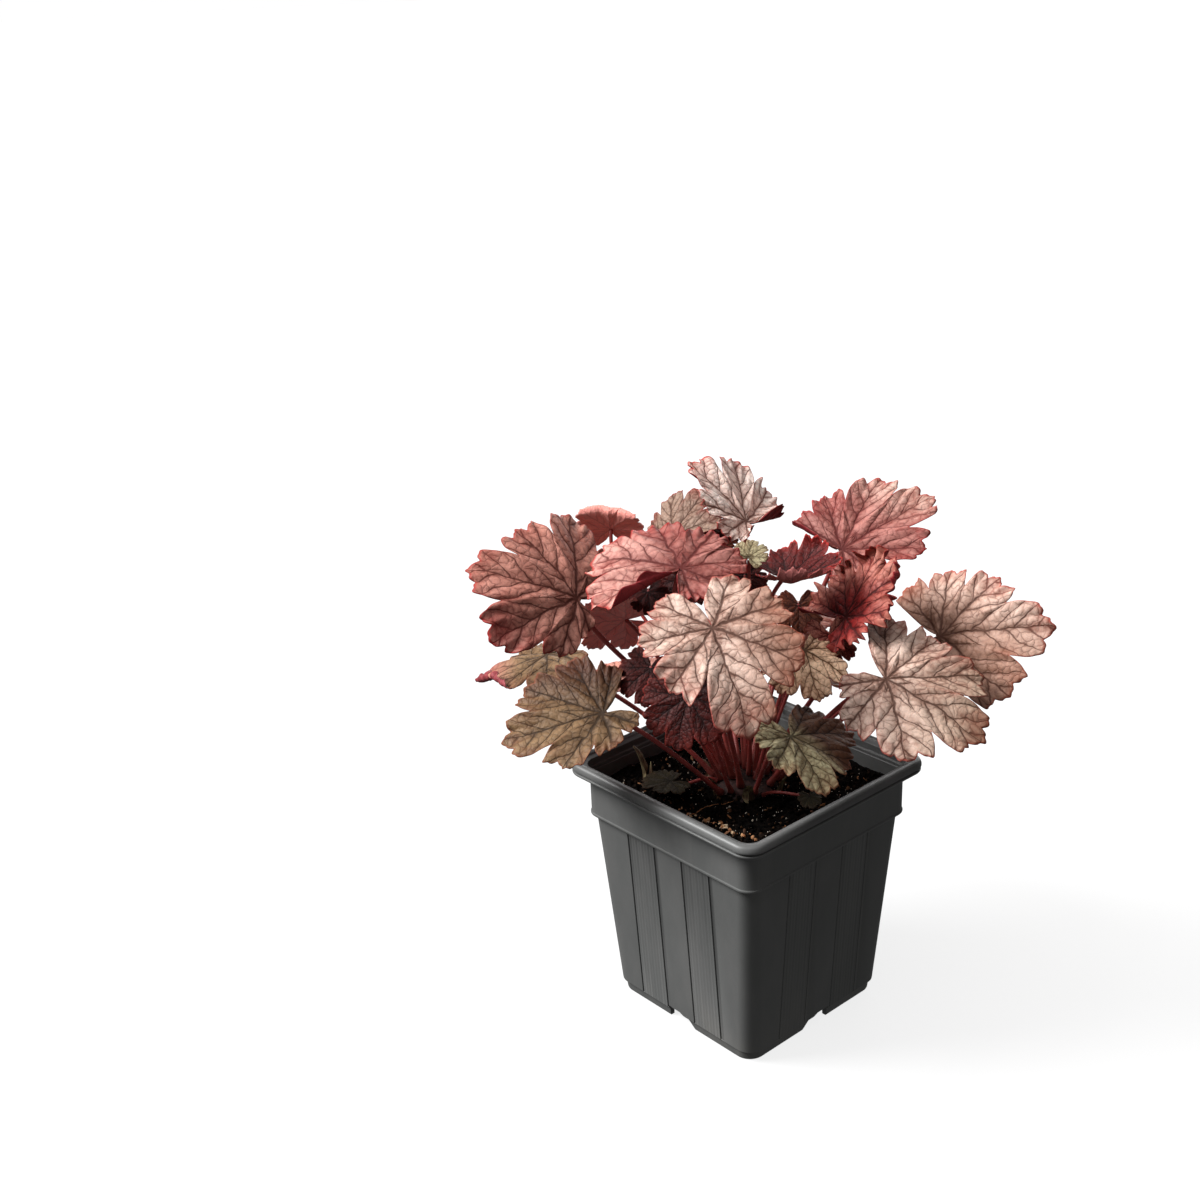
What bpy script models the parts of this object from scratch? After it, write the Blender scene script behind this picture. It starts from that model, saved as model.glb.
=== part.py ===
"""A coral-bells plant (heuchera) growing in a square nursery pot.

Everything is in metres, +Z up. The origin is on the resting plane, on the pot's own axis. Each leaf is a
blade and a stalk (petiole) that rises from the crown in the middle of the soil. The small dark leaves are one
solid each. The blades' outline and bends are formulas; the leaf list gives only each leaf's size and pose.
"""

import math
from collections import namedtuple

import bmesh
import bpy
import numpy as np
from mathutils import Vector
from mathutils.geometry import delaunay_2d_cdt

MM = 0.001
CLEAR = 0.3 * MM  # between two pieces that touch

# Pot: half widths across the flats, corner radii and heights
POT_HEIGHT = 119.0 * MM
RIM_HALF = 57.15 * MM
RIM_CORNER = 9.0 * MM
RIM_UNDERSIDE = 113.4 * MM
MOUTH_HALF = 50.6 * MM
MOUTH_CORNER = 6.0 * MM
COLLAR_BOTTOM = 92.3 * MM
COLLAR_HALF = 51.0 * MM
BODY_TOP_HALF = 49.4 * MM
BODY_CORNER = 7.4 * MM
BASE_STEP = 4.0 * MM
BODY_BOTTOM_HALF = 43.0 * MM
BASE_HALF = 41.6 * MM
WALL = 1.5 * MM
FLOOR_TOP = 7.6 * MM
RECESS_HEIGHT = 6.0 * MM
SKIRT = 2.2 * MM
FOOT = 14.0 * MM
NOTCH_WIDTH = 16.0 * MM
DRAIN_RADIUS = 4.0 * MM
DRAIN_OFFSET = 22.0 * MM

# Fluted strips, two on each side of the pot
STRIP_INNER = 8.5 * MM
STRIP_OUTER = 25.0 * MM
GROOVE_WIDTH = 1.0 * MM
GROOVE_DEPTH = 0.6 * MM
RIBS = 5
RIB_DEPTH = 0.4 * MM

# Soil and crown
SOIL_EDGE = 106.0 * MM
SOIL_BUMP = 0.8 * MM
SOIL_CELLS = 20
CROWN_RADIUS = 18.0 * MM
CROWN_HALF_HEIGHT = 8.0 * MM
CROWN_CENTRE = 103.0 * MM

# Leaves
BLADE_THICKNESS = 0.7 * MM
LOBE_STEP = 45.0
SINUS = 168.0
SINUS_START = 138.0
LOBE_CUT = 0.17
LOBE_FULLNESS = 4.5
TOOTH_CUT = 0.07
PLEAT = 0.07
LARGE_LEAF = 35.0 * MM
STALK_RADIUS = 1.15 * MM
STALK_POINTS = 8

Leaf = namedtuple(
    "Leaf", "name colour bearing reach height size heading pitch roll bends spread lobes wave root"
)
LOBES = (0.72, 0.86, 0.95, 1.00, 0.95, 0.86, 0.72)
EVEN = (0.97, 0.97)
GENTLE = (25, 8, 12, 12)

# Lengths in this list are in millimetres and angles in degrees.
# bearing, reach and height place the stalk's upper end round the pot's axis; size is the middle lobe's length.
# heading, pitch and roll turn the blade; bends (tip, heel, left, right) are the angles its edges curl down by.
# spread opens or closes the left and right halves; lobes are the seven lobes' lengths from right to left.
# wave is the height of the ruffle and its phase; root is the bearing and radius of the stalk's foot on the crown.
LEAVES = [
    Leaf("leaf_01", "rose", 233, 71, 200, 48, 249, 32, -43, (29, 5, 17, 19), (0.91, 0.95),
         (0.68, 0.98, 0.84, 1.05, 1.03, 0.62, 0.32), (1.5, 0), (215, 8)),
    Leaf("leaf_02", "pink", 250, 29, 214, 46, 105, 14, 10, (10, 10, 20, 20), (1.10, 1.0),
         (0.48, 0.60, 0.64, 0.66, 0.76, 0.92, 0.92), (2.0, 60), (246, 6)),
    Leaf("leaf_03", "cream", 299, 48, 201, 41, 334, -26, 8, (29, 6, -8, 3), (1.09, 1.04),
         (0.69, 0.77, 0.85, 1.21, 0.98, 0.77, 0.72), (1.0, 200), (300, 9)),
    Leaf("leaf_04", "cream", 13, 67, 173, 42, 11, -16, 23, (15, 4, 6, 10), (0.91, 0.99),
         (0.48, 0.71, 0.95, 1.14, 0.97, 0.77, 0.83), (1.0, 90), (17, 12)),
    Leaf("leaf_05", "tan", 46, 83, 176, 43, 19, 19, 48, (20, 5, 4, 13), (0.91, 1.01),
         (0.72, 0.86, 0.99, 1.15, 0.83, 0.73, 0.73), (1.2, 30), (46, 14)),
    Leaf("leaf_06", "pink", 90, 63, 200, 44, 71, 21, 20, (8, 4, -6, 2), (0.76, 0.88),
         (0.72, 0.42, 0.86, 1.18, 1.13, 0.78, 0.67), (1.6, 120), (90, 10)),
    Leaf("leaf_07", "tan", 132, 35, 217, 40, 197, 47, -2, (8, -60, 4, -2), (0.96, 0.87),
         (0.55, 0.75, 0.90, 0.94, 0.62, 0.52, 0.35), (1.6, 250), (132, 6)),
    Leaf("leaf_08", "red", 41, 43, 187, 39, 43, 46, 15, (12, 5, 0, 5), (0.84, 0.95),
         (0.46, 0.51, 0.73, 0.87, 0.94, 0.84, 0.92), (2.2, 10), (60, 9)),
    Leaf("leaf_09", "olive", 18, 28, 176, 25, 330, -28, 5, GENTLE, EVEN,
         (0.72, 0.86, 0.95, 1.00, 0.86, 0.58, 0.45), (1.2, 70), (5, 6)),
    Leaf("leaf_10", "olive", 250, 66, 155, 40, 227, -14, -26, (9, 1, -5, -13), (1.07, 0.80),
         (0.63, 0.86, 1.06, 1.16, 0.76, 0.51, 0.45), (1.0, 140), (268, 15)),
    Leaf("leaf_11", "dark", 277, 39, 164, 24, 290, -55, -10, GENTLE, EVEN, LOBES, (1.2, 0), (285, 13)),
    Leaf("leaf_12", "dark", 243, 42, 169, 18, 300, -45, 0, GENTLE, EVEN,
         (0.72, 0.86, 0.95, 1.00, 0.80, 0.52, 0.45), (1.2, 90), (234, 11)),
    Leaf("leaf_13", "green", 336, 50, 153, 30, 342, -18, -7, (16, 3, 8, 6), (0.97, 1.02),
         (0.49, 0.58, 0.73, 1.06, 0.91, 1.03, 0.78), (0.8, 180), (332, 13)),
    Leaf("leaf_14", "olive", 209, 91, 159, 39, 229, -14, 4, (22, 5, 24, 20), EVEN,
         (0.55, 0.62, 0.74, 1.07, 0.90, 0.76, 0.65), (1.5, 40), (212, 14)),
    Leaf("leaf_15", "dark", 207, 54, 179, 26, 229, 0, 55, GENTLE, EVEN, LOBES, (1.5, 20), (198, 12)),
    Leaf("leaf_16", "dark", 184, 78, 209, 20, 305, 65, 0, GENTLE, EVEN, LOBES, (2.0, 110), (152, 12.5)),
    Leaf("leaf_17", "taupe", 166, 60, 204, 28, 80, 55, 0, GENTLE, EVEN, LOBES, (1.5, 0), (170, 10)),
    Leaf("leaf_18", "brown", 148, 43, 206, 10, 139, 40, 0, GENTLE, EVEN, LOBES, (0.8, 0), (138, 9.5)),
    Leaf("leaf_19", "green", 89, 3, 213, 10, 120, 40, 0, GENTLE, EVEN, LOBES, (0.6, 0), (20, 1.5)),
    Leaf("leaf_20", "dark", 59, 18, 203, 26, 49, 0, 0, (-30, -30, -50, -50), EVEN, LOBES, (2.5, 60), (40, 4)),
    Leaf("leaf_21", "brown", 98, 41, 178, 14, 319, -50, 0, GENTLE, EVEN, LOBES, (1.0, 0), (102, 9)),
    Leaf("leaf_22", "olive", 355, 41, 117, 6.5, 330, -20, 0, GENTLE, EVEN, LOBES, (0.3, 0), (345, 15)),
    Leaf("leaf_23", "olive", 239, 34, 112, 14, 250, 4, 0, (8, 4, 4, 4), EVEN, LOBES, (0.6, 0), (234, 13)),
    Leaf("leaf_24", "rose", 116, 66, 163, 40, 118, -5, 0, GENTLE, EVEN, LOBES, (1.5, 30), (116, 12)),
    Leaf("leaf_25", "tan", 146, 72, 150, 38, 150, -10, 0, GENTLE, EVEN, LOBES, (1.5, 80), (145, 14)),
    Leaf("leaf_26", "rose", 178, 74, 136, 34, 180, -8, 0, GENTLE, EVEN, LOBES, (1.5, 130), (180, 15)),
    Leaf("leaf_27", "tan", 88, 74, 129, 34, 88, -10, 0, GENTLE, EVEN, LOBES, (1.5, 190), (76, 15)),
    Leaf("leaf_28", "olive", 122, 88, 134, 34, 126, -16, 0, GENTLE, EVEN, LOBES, (1.2, 240), (125, 15.5)),
]

COLOURS = {
    "rose": (0.47, 0.21, 0.17),
    "pink": (0.60, 0.28, 0.26),
    "cream": (0.62, 0.44, 0.38),
    "tan": (0.55, 0.37, 0.29),
    "red": (0.34, 0.07, 0.06),
    "olive": (0.27, 0.20, 0.12),
    "green": (0.30, 0.28, 0.18),
    "dark": (0.11, 0.02, 0.02),
    "taupe": (0.28, 0.17, 0.14),
    "brown": (0.17, 0.07, 0.05),
}
ONE_PIECE = ("dark", "taupe", "brown")  # colours whose stalk is as dark as the blade


def clear_scene():
    for thing in list(bpy.data.objects):
        bpy.data.objects.remove(thing, do_unlink=True)


def make_collection(name):
    collection = bpy.data.collections.new(name)
    bpy.context.scene.collection.children.link(collection)
    return collection


def make_material(name, colour, roughness):
    material = bpy.data.materials.new(name)
    material.use_nodes = True
    shader = material.node_tree.nodes["Principled BSDF"]
    shader.inputs["Base Color"].default_value = (*colour, 1.0)
    shader.inputs["Roughness"].default_value = roughness
    shader.inputs["Metallic"].default_value = 0.0
    return material


def object_from_bmesh(name, bm, collection, material=None):
    mesh = bpy.data.meshes.new(name)
    bm.to_mesh(mesh)
    bm.free()
    thing = bpy.data.objects.new(name, mesh)
    collection.objects.link(thing)
    if material:
        mesh.materials.append(material)
    return thing


def make_cutter(name, bm, cutters):
    cutter = object_from_bmesh(name, bm, cutters)
    cutter.hide_render = True
    cutter.display_type = "WIRE"
    return cutter


def boolean(target, other, operation):
    modifier = target.modifiers.new(other.name, "BOOLEAN")
    modifier.operation = operation
    modifier.solver = "EXACT"
    modifier.object = other
    return modifier


def apply_modifiers(thing):
    """Keeps the object's evaluated mesh as its own mesh."""
    evaluated = thing.evaluated_get(bpy.context.evaluated_depsgraph_get())
    mesh = bpy.data.meshes.new_from_object(evaluated)
    thing.modifiers.clear()
    thing.data = mesh


# Pot


def square_ring(half, corner, height, side_points=()):
    """Points of a square with round corners, anticlockwise from above.

    side_points are (distance along the side from its middle, depth inwards) pairs, from left to right as seen
    from outside, and each side gets the same ones.
    """
    arc = np.radians(np.linspace(0, 90, 5))
    centre = half - corner
    ring = []
    for quarter in range(4):
        turn = math.radians(90 * quarter)
        side = [(half - depth, along) for along, depth in side_points]
        bend = [(centre + corner * math.cos(a), centre + corner * math.sin(a)) for a in arc]
        for x, y in side + bend:
            ring.append(
                (x * math.cos(turn) - y * math.sin(turn), x * math.sin(turn) + y * math.cos(turn), height)
            )
    return ring


def loft(rings):
    """A closed solid through rings of equal point counts, lowest first, capped at both ends."""
    bm = bmesh.new()
    loops = [[bm.verts.new(point) for point in ring] for ring in rings]
    count = len(loops[0])
    for low, high in zip(loops, loops[1:]):
        for i in range(count):
            j = (i + 1) % count
            bm.faces.new((low[i], low[j], high[j], high[i]))
    bm.faces.new(reversed(loops[0]))
    bm.faces.new(loops[-1])
    return bm


def strip_profile():
    """The fluted strips across one side: a groove at each edge of a strip and shallow ribs between."""
    points = []
    for left, right in ((-STRIP_OUTER, -STRIP_INNER), (STRIP_INNER, STRIP_OUTER)):
        points += [(left, 0), (left + GROOVE_WIDTH / 2, GROOVE_DEPTH)]
        first, last = left + GROOVE_WIDTH, right - GROOVE_WIDTH
        pitch = (last - first) / RIBS
        for rib in range(RIBS):
            points += [(first + pitch * rib, RIB_DEPTH), (first + pitch * (rib + 0.5), 0)]
        points += [(last, RIB_DEPTH), (right - GROOVE_WIDTH / 2, GROOVE_DEPTH), (right, 0)]
    return points


def collar_and_rim():
    profile = [
        (COLLAR_HALF - 0.4 * MM, COLLAR_BOTTOM),
        (COLLAR_HALF, COLLAR_BOTTOM + 1.0 * MM),
        (COLLAR_HALF + 0.9 * MM, RIM_UNDERSIDE - 1.8 * MM),
        (COLLAR_HALF + 1.3 * MM, RIM_UNDERSIDE - 0.4 * MM),
        (RIM_HALF - 0.7 * MM, RIM_UNDERSIDE),
        (RIM_HALF, RIM_UNDERSIDE + 1.0 * MM),
        (RIM_HALF, POT_HEIGHT - 1.6 * MM),
        (RIM_HALF - 0.6 * MM, POT_HEIGHT - 0.4 * MM),
        (RIM_HALF - 1.7 * MM, POT_HEIGHT),
        (RIM_HALF - 2.8 * MM, POT_HEIGHT - 0.4 * MM),
    ]
    rings = []
    for half, height in profile:
        share = (half - COLLAR_HALF) / (RIM_HALF - COLLAR_HALF)
        rings.append(square_ring(half, BODY_CORNER + (RIM_CORNER - BODY_CORNER) * share, height))
    return loft(rings)


def body_with_strips():
    sides = strip_profile()
    return loft([
        square_ring(BODY_BOTTOM_HALF, BODY_CORNER, BASE_STEP, sides),
        square_ring(BODY_TOP_HALF, BODY_CORNER, COLLAR_BOTTOM + WALL, sides),
    ])


def base_block():
    return loft([
        square_ring(BASE_HALF, BODY_CORNER, 0),
        square_ring(BASE_HALF + 0.4 * MM, BODY_CORNER, BASE_STEP + WALL),
    ])


def inside_profile(gap):
    """Half width and height of the pot's inner wall from the floor up, drawn in by the gap."""
    inner_bottom = BODY_BOTTOM_HALF - WALL - RIB_DEPTH - 0.1 * MM
    return [
        (inner_bottom - gap, FLOOR_TOP + gap),
        (BODY_TOP_HALF - WALL - gap, COLLAR_BOTTOM - WALL),
        (COLLAR_HALF - WALL - gap, COLLAR_BOTTOM + WALL + gap),
        (COLLAR_HALF - WALL + 0.3 * MM - gap, RIM_UNDERSIDE - 1.4 * MM),
    ]


def inside_cutter():
    ledges = [
        (COLLAR_HALF - WALL + 0.8 * MM, RIM_UNDERSIDE - 1.2 * MM),
        (COLLAR_HALF - WALL + 0.8 * MM, RIM_UNDERSIDE + 0.2 * MM),
        (MOUTH_HALF, RIM_UNDERSIDE + 0.6 * MM),
        (MOUTH_HALF, POT_HEIGHT + 1.0 * MM),
    ]
    return loft([square_ring(half, MOUTH_CORNER, height) for half, height in inside_profile(0) + ledges])


def box(width, depth, height, centre):
    bm = bmesh.new()
    bmesh.ops.create_cube(bm, size=1.0)
    bmesh.ops.scale(bm, vec=(width, depth, height), verts=bm.verts)
    bmesh.ops.translate(bm, vec=centre, verts=bm.verts)
    return bm


def cylinder(radius, height, centre):
    bm = bmesh.new()
    bmesh.ops.create_cone(bm, cap_ends=True, segments=20, radius1=radius, radius2=radius, depth=height)
    bmesh.ops.translate(bm, vec=centre, verts=bm.verts)
    return bm


def notch_cutter(turn):
    """The opening in the middle of a side's skirt: one end upright, the other a slope."""
    half = NOTCH_WIDTH / 2
    outline = [(-half, -MM), (half, -MM), (half, 0), (0.45 * half, 0.7 * RECESS_HEIGHT), (-0.1 * half, RECESS_HEIGHT),
               (-half, RECESS_HEIGHT)]
    bm = bmesh.new()
    outer = [bm.verts.new((x, -BASE_HALF - 4 * MM, z)) for x, z in outline]
    inner = [bm.verts.new((x, -BASE_HALF + SKIRT + MM, z)) for x, z in outline]
    bm.faces.new(outer)
    bm.faces.new(reversed(inner))
    for i in range(len(outline)):
        j = (i + 1) % len(outline)
        bm.faces.new((outer[j], outer[i], inner[i], inner[j]))
    mirror = -1 if turn % 2 else 1
    rotation = math.radians(90 * turn)
    for vert in bm.verts:
        x, y, z = vert.co
        x *= mirror
        vert.co = (x * math.cos(rotation) - y * math.sin(rotation), x * math.sin(rotation) + y * math.cos(rotation), z)
    bmesh.ops.recalc_face_normals(bm, faces=bm.faces)
    return bm


def make_pot(parts, cutters):
    pot = object_from_bmesh("pot", body_with_strips(), parts, make_material("pot_plastic", (0.045, 0.045, 0.044), 0.42))
    added = [("collar_and_rim", collar_and_rim()), ("base_block", base_block())]
    recess_span = 2 * (BASE_HALF - SKIRT)
    cross = recess_span - 2 * FOOT
    middle = (0, 0, RECESS_HEIGHT / 2 - MM)
    cut = [
        ("inside", inside_cutter()),
        ("recess_x", box(recess_span, cross, RECESS_HEIGHT + 2 * MM, middle)),
        ("recess_y", box(cross - 0.2 * MM, recess_span, RECESS_HEIGHT + 1.98 * MM, middle)),
    ]
    cut += [(f"notch_{turn}", notch_cutter(turn)) for turn in range(4)]
    for x, y in ((0, 0), (1, 1), (-1, 1), (-1, -1), (1, -1)):
        place = (x * DRAIN_OFFSET, y * DRAIN_OFFSET, FLOOR_TOP)
        cut.append((f"drain_{x}_{y}", cylinder(DRAIN_RADIUS, 2 * FLOOR_TOP, place)))
    for name, bm in added:
        boolean(pot, make_cutter(name, bm, cutters), "UNION")
    for name, bm in cut:
        boolean(pot, make_cutter(name, bm, cutters), "DIFFERENCE")
    apply_modifiers(pot)
    return pot


# Soil and crown


def soil_height(x, y):
    """Height of the soil: level, with a few long waves and small lumps."""
    waves = np.sin(95 * x + 1.3) * np.cos(80 * y - 0.4) + 0.6 * np.sin(170 * x - 140 * y)
    return SOIL_EDGE + SOIL_BUMP * waves


def make_soil(parts, cutters):
    rings = [square_ring(half, MOUTH_CORNER, height) for half, height in inside_profile(CLEAR)]
    bm = loft(rings)
    soil = object_from_bmesh("soil", bm, parts, make_material("potting_mix", (0.012, 0.009, 0.007), 0.95))
    span = 2 * MOUTH_HALF + 4 * MM
    cover = bmesh.new()
    bmesh.ops.create_grid(cover, x_segments=SOIL_CELLS, y_segments=SOIL_CELLS, size=span / 2)
    lid = bmesh.ops.extrude_face_region(cover, geom=cover.faces[:])
    raised = [v for v in lid["geom"] if isinstance(v, bmesh.types.BMVert)]
    for vert in raised:
        vert.co.z = POT_HEIGHT + 5 * MM
    for vert in set(cover.verts) - set(raised):
        vert.co.z = soil_height(vert.co.x, vert.co.y)
    bmesh.ops.triangulate(cover, faces=cover.faces)
    bmesh.ops.recalc_face_normals(cover, faces=cover.faces)
    boolean(soil, make_cutter("soil_surface", cover, cutters), "DIFFERENCE")
    boolean(soil, make_cutter("crown_hollow", crown_shape(CLEAR), cutters), "DIFFERENCE")
    apply_modifiers(soil)
    return soil


def crown_shape(extra):
    bm = bmesh.new()
    bmesh.ops.create_uvsphere(bm, u_segments=20, v_segments=10, radius=1.0)
    wide = CROWN_RADIUS + extra
    bmesh.ops.scale(bm, vec=(wide, wide, CROWN_HALF_HEIGHT + extra), verts=bm.verts)
    bmesh.ops.translate(bm, vec=(0, 0, CROWN_CENTRE), verts=bm.verts)
    return bm


def crown_point(bearing, radius):
    """A point of the crown's upper side, and the direction straight out of it."""
    share = radius / CROWN_RADIUS
    rise = math.sqrt(1 - share**2)
    a = math.radians(bearing)
    point = Vector((radius * math.cos(a), radius * math.sin(a), CROWN_CENTRE + CROWN_HALF_HEIGHT * rise))
    outward = Vector((share / CROWN_RADIUS * math.cos(a), share / CROWN_RADIUS * math.sin(a), rise / CROWN_HALF_HEIGHT))
    return point, outward.normalized()


# Leaves


def edge_distance(angle, lobes):
    """Distance of the blade's edge from the stalk, as a share of the middle lobe, at an angle in degrees.

    The lobes' own lengths are joined by smooth steps over the angle. Each lobe is broad and round, with a narrow
    cleft to the next, and carries three round teeth. Past SINUS_START the edge turns back to the stalk in a
    quarter of an oval.
    """
    middle = np.clip(np.round(angle / LOBE_STEP), -3, 3)
    off = angle / LOBE_STEP - middle
    aside = np.minimum(np.abs(off), 0.5)
    length = np.interp(middle + np.sign(off) * aside**2 * (3 - 2 * aside), np.arange(-3, 4), lobes)
    lobe = 1 - LOBE_CUT * (2 * aside) ** LOBE_FULLNESS
    tooth_off = 3 * off - np.round(3 * off)
    tooth = 1 - TOOTH_CUT * (2 * np.abs(tooth_off)) ** 1.6
    turn = np.clip((np.abs(angle) - SINUS_START) / (SINUS - SINUS_START), 0, 1)
    return length * lobe * tooth * np.sqrt(1 - turn**2.2)


def arc(distance, ahead, behind, size):
    """Bends a straight line: ahead and behind are the angles in degrees turned through over one size."""
    curve = np.radians(np.where(distance >= 0, ahead, behind)) / size
    curve = np.where(np.abs(curve) < 1e-6, 1e-6, curve)
    return np.sin(curve * distance) / curve, -(1 - np.cos(curve * np.abs(distance))) / curve


def blade_axes(leaf):
    """Unit vectors along the middle lobe, to its left, and out of the upper face."""
    heading, pitch, roll = (math.radians(a) for a in (leaf.heading, leaf.pitch, leaf.roll))
    along = Vector((math.cos(heading) * math.cos(pitch), math.sin(heading) * math.cos(pitch), math.sin(pitch)))
    level = Vector((-math.sin(heading), math.cos(heading), 0))
    above = along.cross(level)
    left = level * math.cos(roll) + above * math.sin(roll)
    return along, left, along.cross(left)


def leaf_foot(leaf):
    """Where the stalk meets the blade."""
    bearing = math.radians(leaf.bearing)
    return Vector((leaf.reach * math.cos(bearing), leaf.reach * math.sin(bearing), leaf.height)) * MM


def place_blade(leaf, share, angle):
    """Points of the bent blade.

    share is the distance from the stalk over the leaf's size and angle the direction in degrees. The flat leaf is
    bent by arc along and across the middle lobe, then lifted: by PLEAT between the veins, and by a ruffle that
    grows towards the edge and goes round in two and three and a half waves.
    """
    size = leaf.size * MM
    wide = np.where(angle > 0, leaf.spread[0], leaf.spread[1])
    turned = np.radians(angle * wide)
    forward, sink_forward = arc(share * size * np.cos(turned), leaf.bends[0], leaf.bends[1], size)
    side, sink_side = arc(share * size * np.sin(turned), leaf.bends[2], leaf.bends[3], size)
    off = angle / LOBE_STEP - np.round(angle / LOBE_STEP)
    pleat = PLEAT * size * share * (2 * np.abs(off)) ** 1.5
    phase = math.radians(leaf.wave[1])
    ripple = np.sin(np.radians(angle) * 2 + phase) + 0.6 * np.sin(np.radians(angle) * 3.5 - 2 * phase)
    lift = sink_forward + sink_side + pleat + leaf.wave[0] * MM * share**2 * ripple
    along, left, above = (np.array(axis) for axis in blade_axes(leaf))
    return np.array(leaf_foot(leaf)) + np.outer(forward, along) + np.outer(side, left) + np.outer(lift, above)


def blade_mesh(leaf):
    """The open surface of a blade, in triangles: its toothed edge, and points along and between the veins."""
    steps = (-0.5, -0.2, 0.2) if leaf.size * MM > LARGE_LEAF else (-0.5, 0.0)
    angles = [LOBE_STEP * lobe + LOBE_STEP / 3 * (tooth + step)
              for lobe in range(-3, 4) for tooth in (-1, 0, 1) for step in steps]
    last = 3.5 * LOBE_STEP
    turn_back = [0.5 * (last + SINUS), 0.15 * last + 0.85 * SINUS]
    angles = np.array([-a for a in reversed(turn_back)] + angles + [last] + turn_back)
    shares = edge_distance(angles, leaf.lobes)
    edge_count = len(angles) + 1
    angles = np.append(angles, 180.0)
    shares = np.append(shares, 0.05)
    for lobe in range(-3, 4):
        vein = LOBE_STEP * lobe
        reach = float(edge_distance(np.array([vein]), leaf.lobes)[0])
        angles = np.append(angles, [vein, vein])
        shares = np.append(shares, [0.38 * reach, 0.74 * reach])
        if lobe < 3:
            between = vein + LOBE_STEP / 2
            reach = float(edge_distance(np.array([between]), leaf.lobes)[0])
            angles = np.append(angles, [between, between])
            shares = np.append(shares, [0.45 * reach, 0.82 * reach])
    angles = np.append(angles, 0.0)
    shares = np.append(shares, 0.0)
    flat = [Vector((s * math.cos(math.radians(a)), s * math.sin(math.radians(a)))) for s, a in zip(shares, angles)]
    loop = list(range(edge_count))
    flat, _, faces, _, _, _ = delaunay_2d_cdt(flat, [], [loop], 1, 1e-7)
    plane = np.array([tuple(v) for v in flat])
    share = np.hypot(plane[:, 0], plane[:, 1])
    angle = np.degrees(np.arctan2(plane[:, 1], plane[:, 0]))
    points = place_blade(leaf, share, angle)
    bm = bmesh.new()
    verts = [bm.verts.new(p) for p in points]
    for face in faces:
        bm.faces.new([verts[i] for i in face])
    return bm


def stalk_route(leaf, into_blade):
    """Points of the stalk: one cubic curve from the crown to just under the blade, or into it."""
    base, outward = crown_point(leaf.root[0], leaf.root[1] * MM)
    start = base + outward * CLEAR
    along, _, above = blade_axes(leaf)
    arrival = (above * 0.75 + along * 0.65).normalized()
    slant = arrival.dot(above)
    radius = stalk_radius(leaf)
    short = BLADE_THICKNESS / 2 + CLEAR + radius * math.sqrt(1 - slant**2)
    back = 0.0 if into_blade else short / slant
    end = leaf_foot(leaf) - arrival * back
    span = (end - start).length
    lean = (outward + Vector((end.x - start.x, end.y - start.y, 0)) / span * 0.5).normalized()
    first = start + outward * 0.12 * span + lean * 0.22 * span
    second = end - arrival * 0.3 * span
    points = []
    for i in range(STALK_POINTS):
        t = i / (STALK_POINTS - 1)
        points.append(
            start * (1 - t) ** 3 + first * 3 * (1 - t) ** 2 * t + second * 3 * (1 - t) * t**2 + end * t**3
        )
    return points


def stalk_radius(leaf):
    return STALK_RADIUS * min(1.0, 0.55 + 0.011 * leaf.size)


def make_stalk(name, leaf, collection, material, into_blade):
    curve = bpy.data.curves.new(name, "CURVE")
    curve.dimensions = "3D"
    curve.bevel_depth = stalk_radius(leaf)
    curve.bevel_resolution = 1
    curve.use_fill_caps = True
    points = stalk_route(leaf, into_blade)
    spline = curve.splines.new("POLY")
    spline.points.add(len(points) - 1)
    for target, point in zip(spline.points, points):
        target.co = (*point, 1.0)
    route = bpy.data.objects.new(name + "_route", curve)
    collection.objects.link(route)
    evaluated = route.evaluated_get(bpy.context.evaluated_depsgraph_get())
    mesh = bpy.data.meshes.new_from_object(evaluated)
    bm = bmesh.new()
    bm.from_mesh(mesh)
    bmesh.ops.remove_doubles(bm, verts=bm.verts, dist=0.01 * MM)
    stalk = object_from_bmesh(name, bm, collection, material)
    stalk.matrix_world = route.matrix_world
    bpy.data.objects.remove(route, do_unlink=True)
    bpy.data.meshes.remove(mesh)
    return stalk


def make_leaf(leaf, parts, cutters, stalk_material):
    one_piece = leaf.colour in ONE_PIECE
    name = leaf.name if one_piece else leaf.name + "_blade"
    material = make_material(name, COLOURS[leaf.colour], 0.6)
    blade = object_from_bmesh(name, blade_mesh(leaf), parts, material)
    solid = blade.modifiers.new("thickness", "SOLIDIFY")
    solid.thickness = BLADE_THICKNESS
    solid.offset = 0.0
    if one_piece:
        stalk = make_stalk(leaf.name + "_stem", leaf, cutters, material, True)
        stalk.hide_render = True
        stalk.display_type = "WIRE"
        boolean(blade, stalk, "UNION")
        apply_modifiers(blade)
    else:
        make_stalk(leaf.name + "_petiole", leaf, parts, stalk_material, False)


def main():
    clear_scene()
    parts = make_collection("heuchera_plant")
    cutters = make_collection("cutters")
    make_pot(parts, cutters)
    make_soil(parts, cutters)
    bark = make_material("crown_bark", (0.06, 0.02, 0.015), 0.8)
    object_from_bmesh("crown", crown_shape(0), parts, bark)
    for leaf in LEAVES:
        stalk_material = make_material(leaf.name + "_petiole", (0.13, 0.022, 0.02), 0.5)
        make_leaf(leaf, parts, cutters, stalk_material)


main()
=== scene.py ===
"""A coral-bells plant in its square nursery pot, dressed over its CAD model.

All lengths are in metres and +Z is up. The leaves, stalks, soil and pot repeat the CAD model's formulas with
more points, and add veins, teeth, hairs, reeding and crumbs.
"""

import math
from collections import namedtuple

import bmesh
import bpy
import numpy as np
from mathutils import Matrix, Vector


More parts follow.
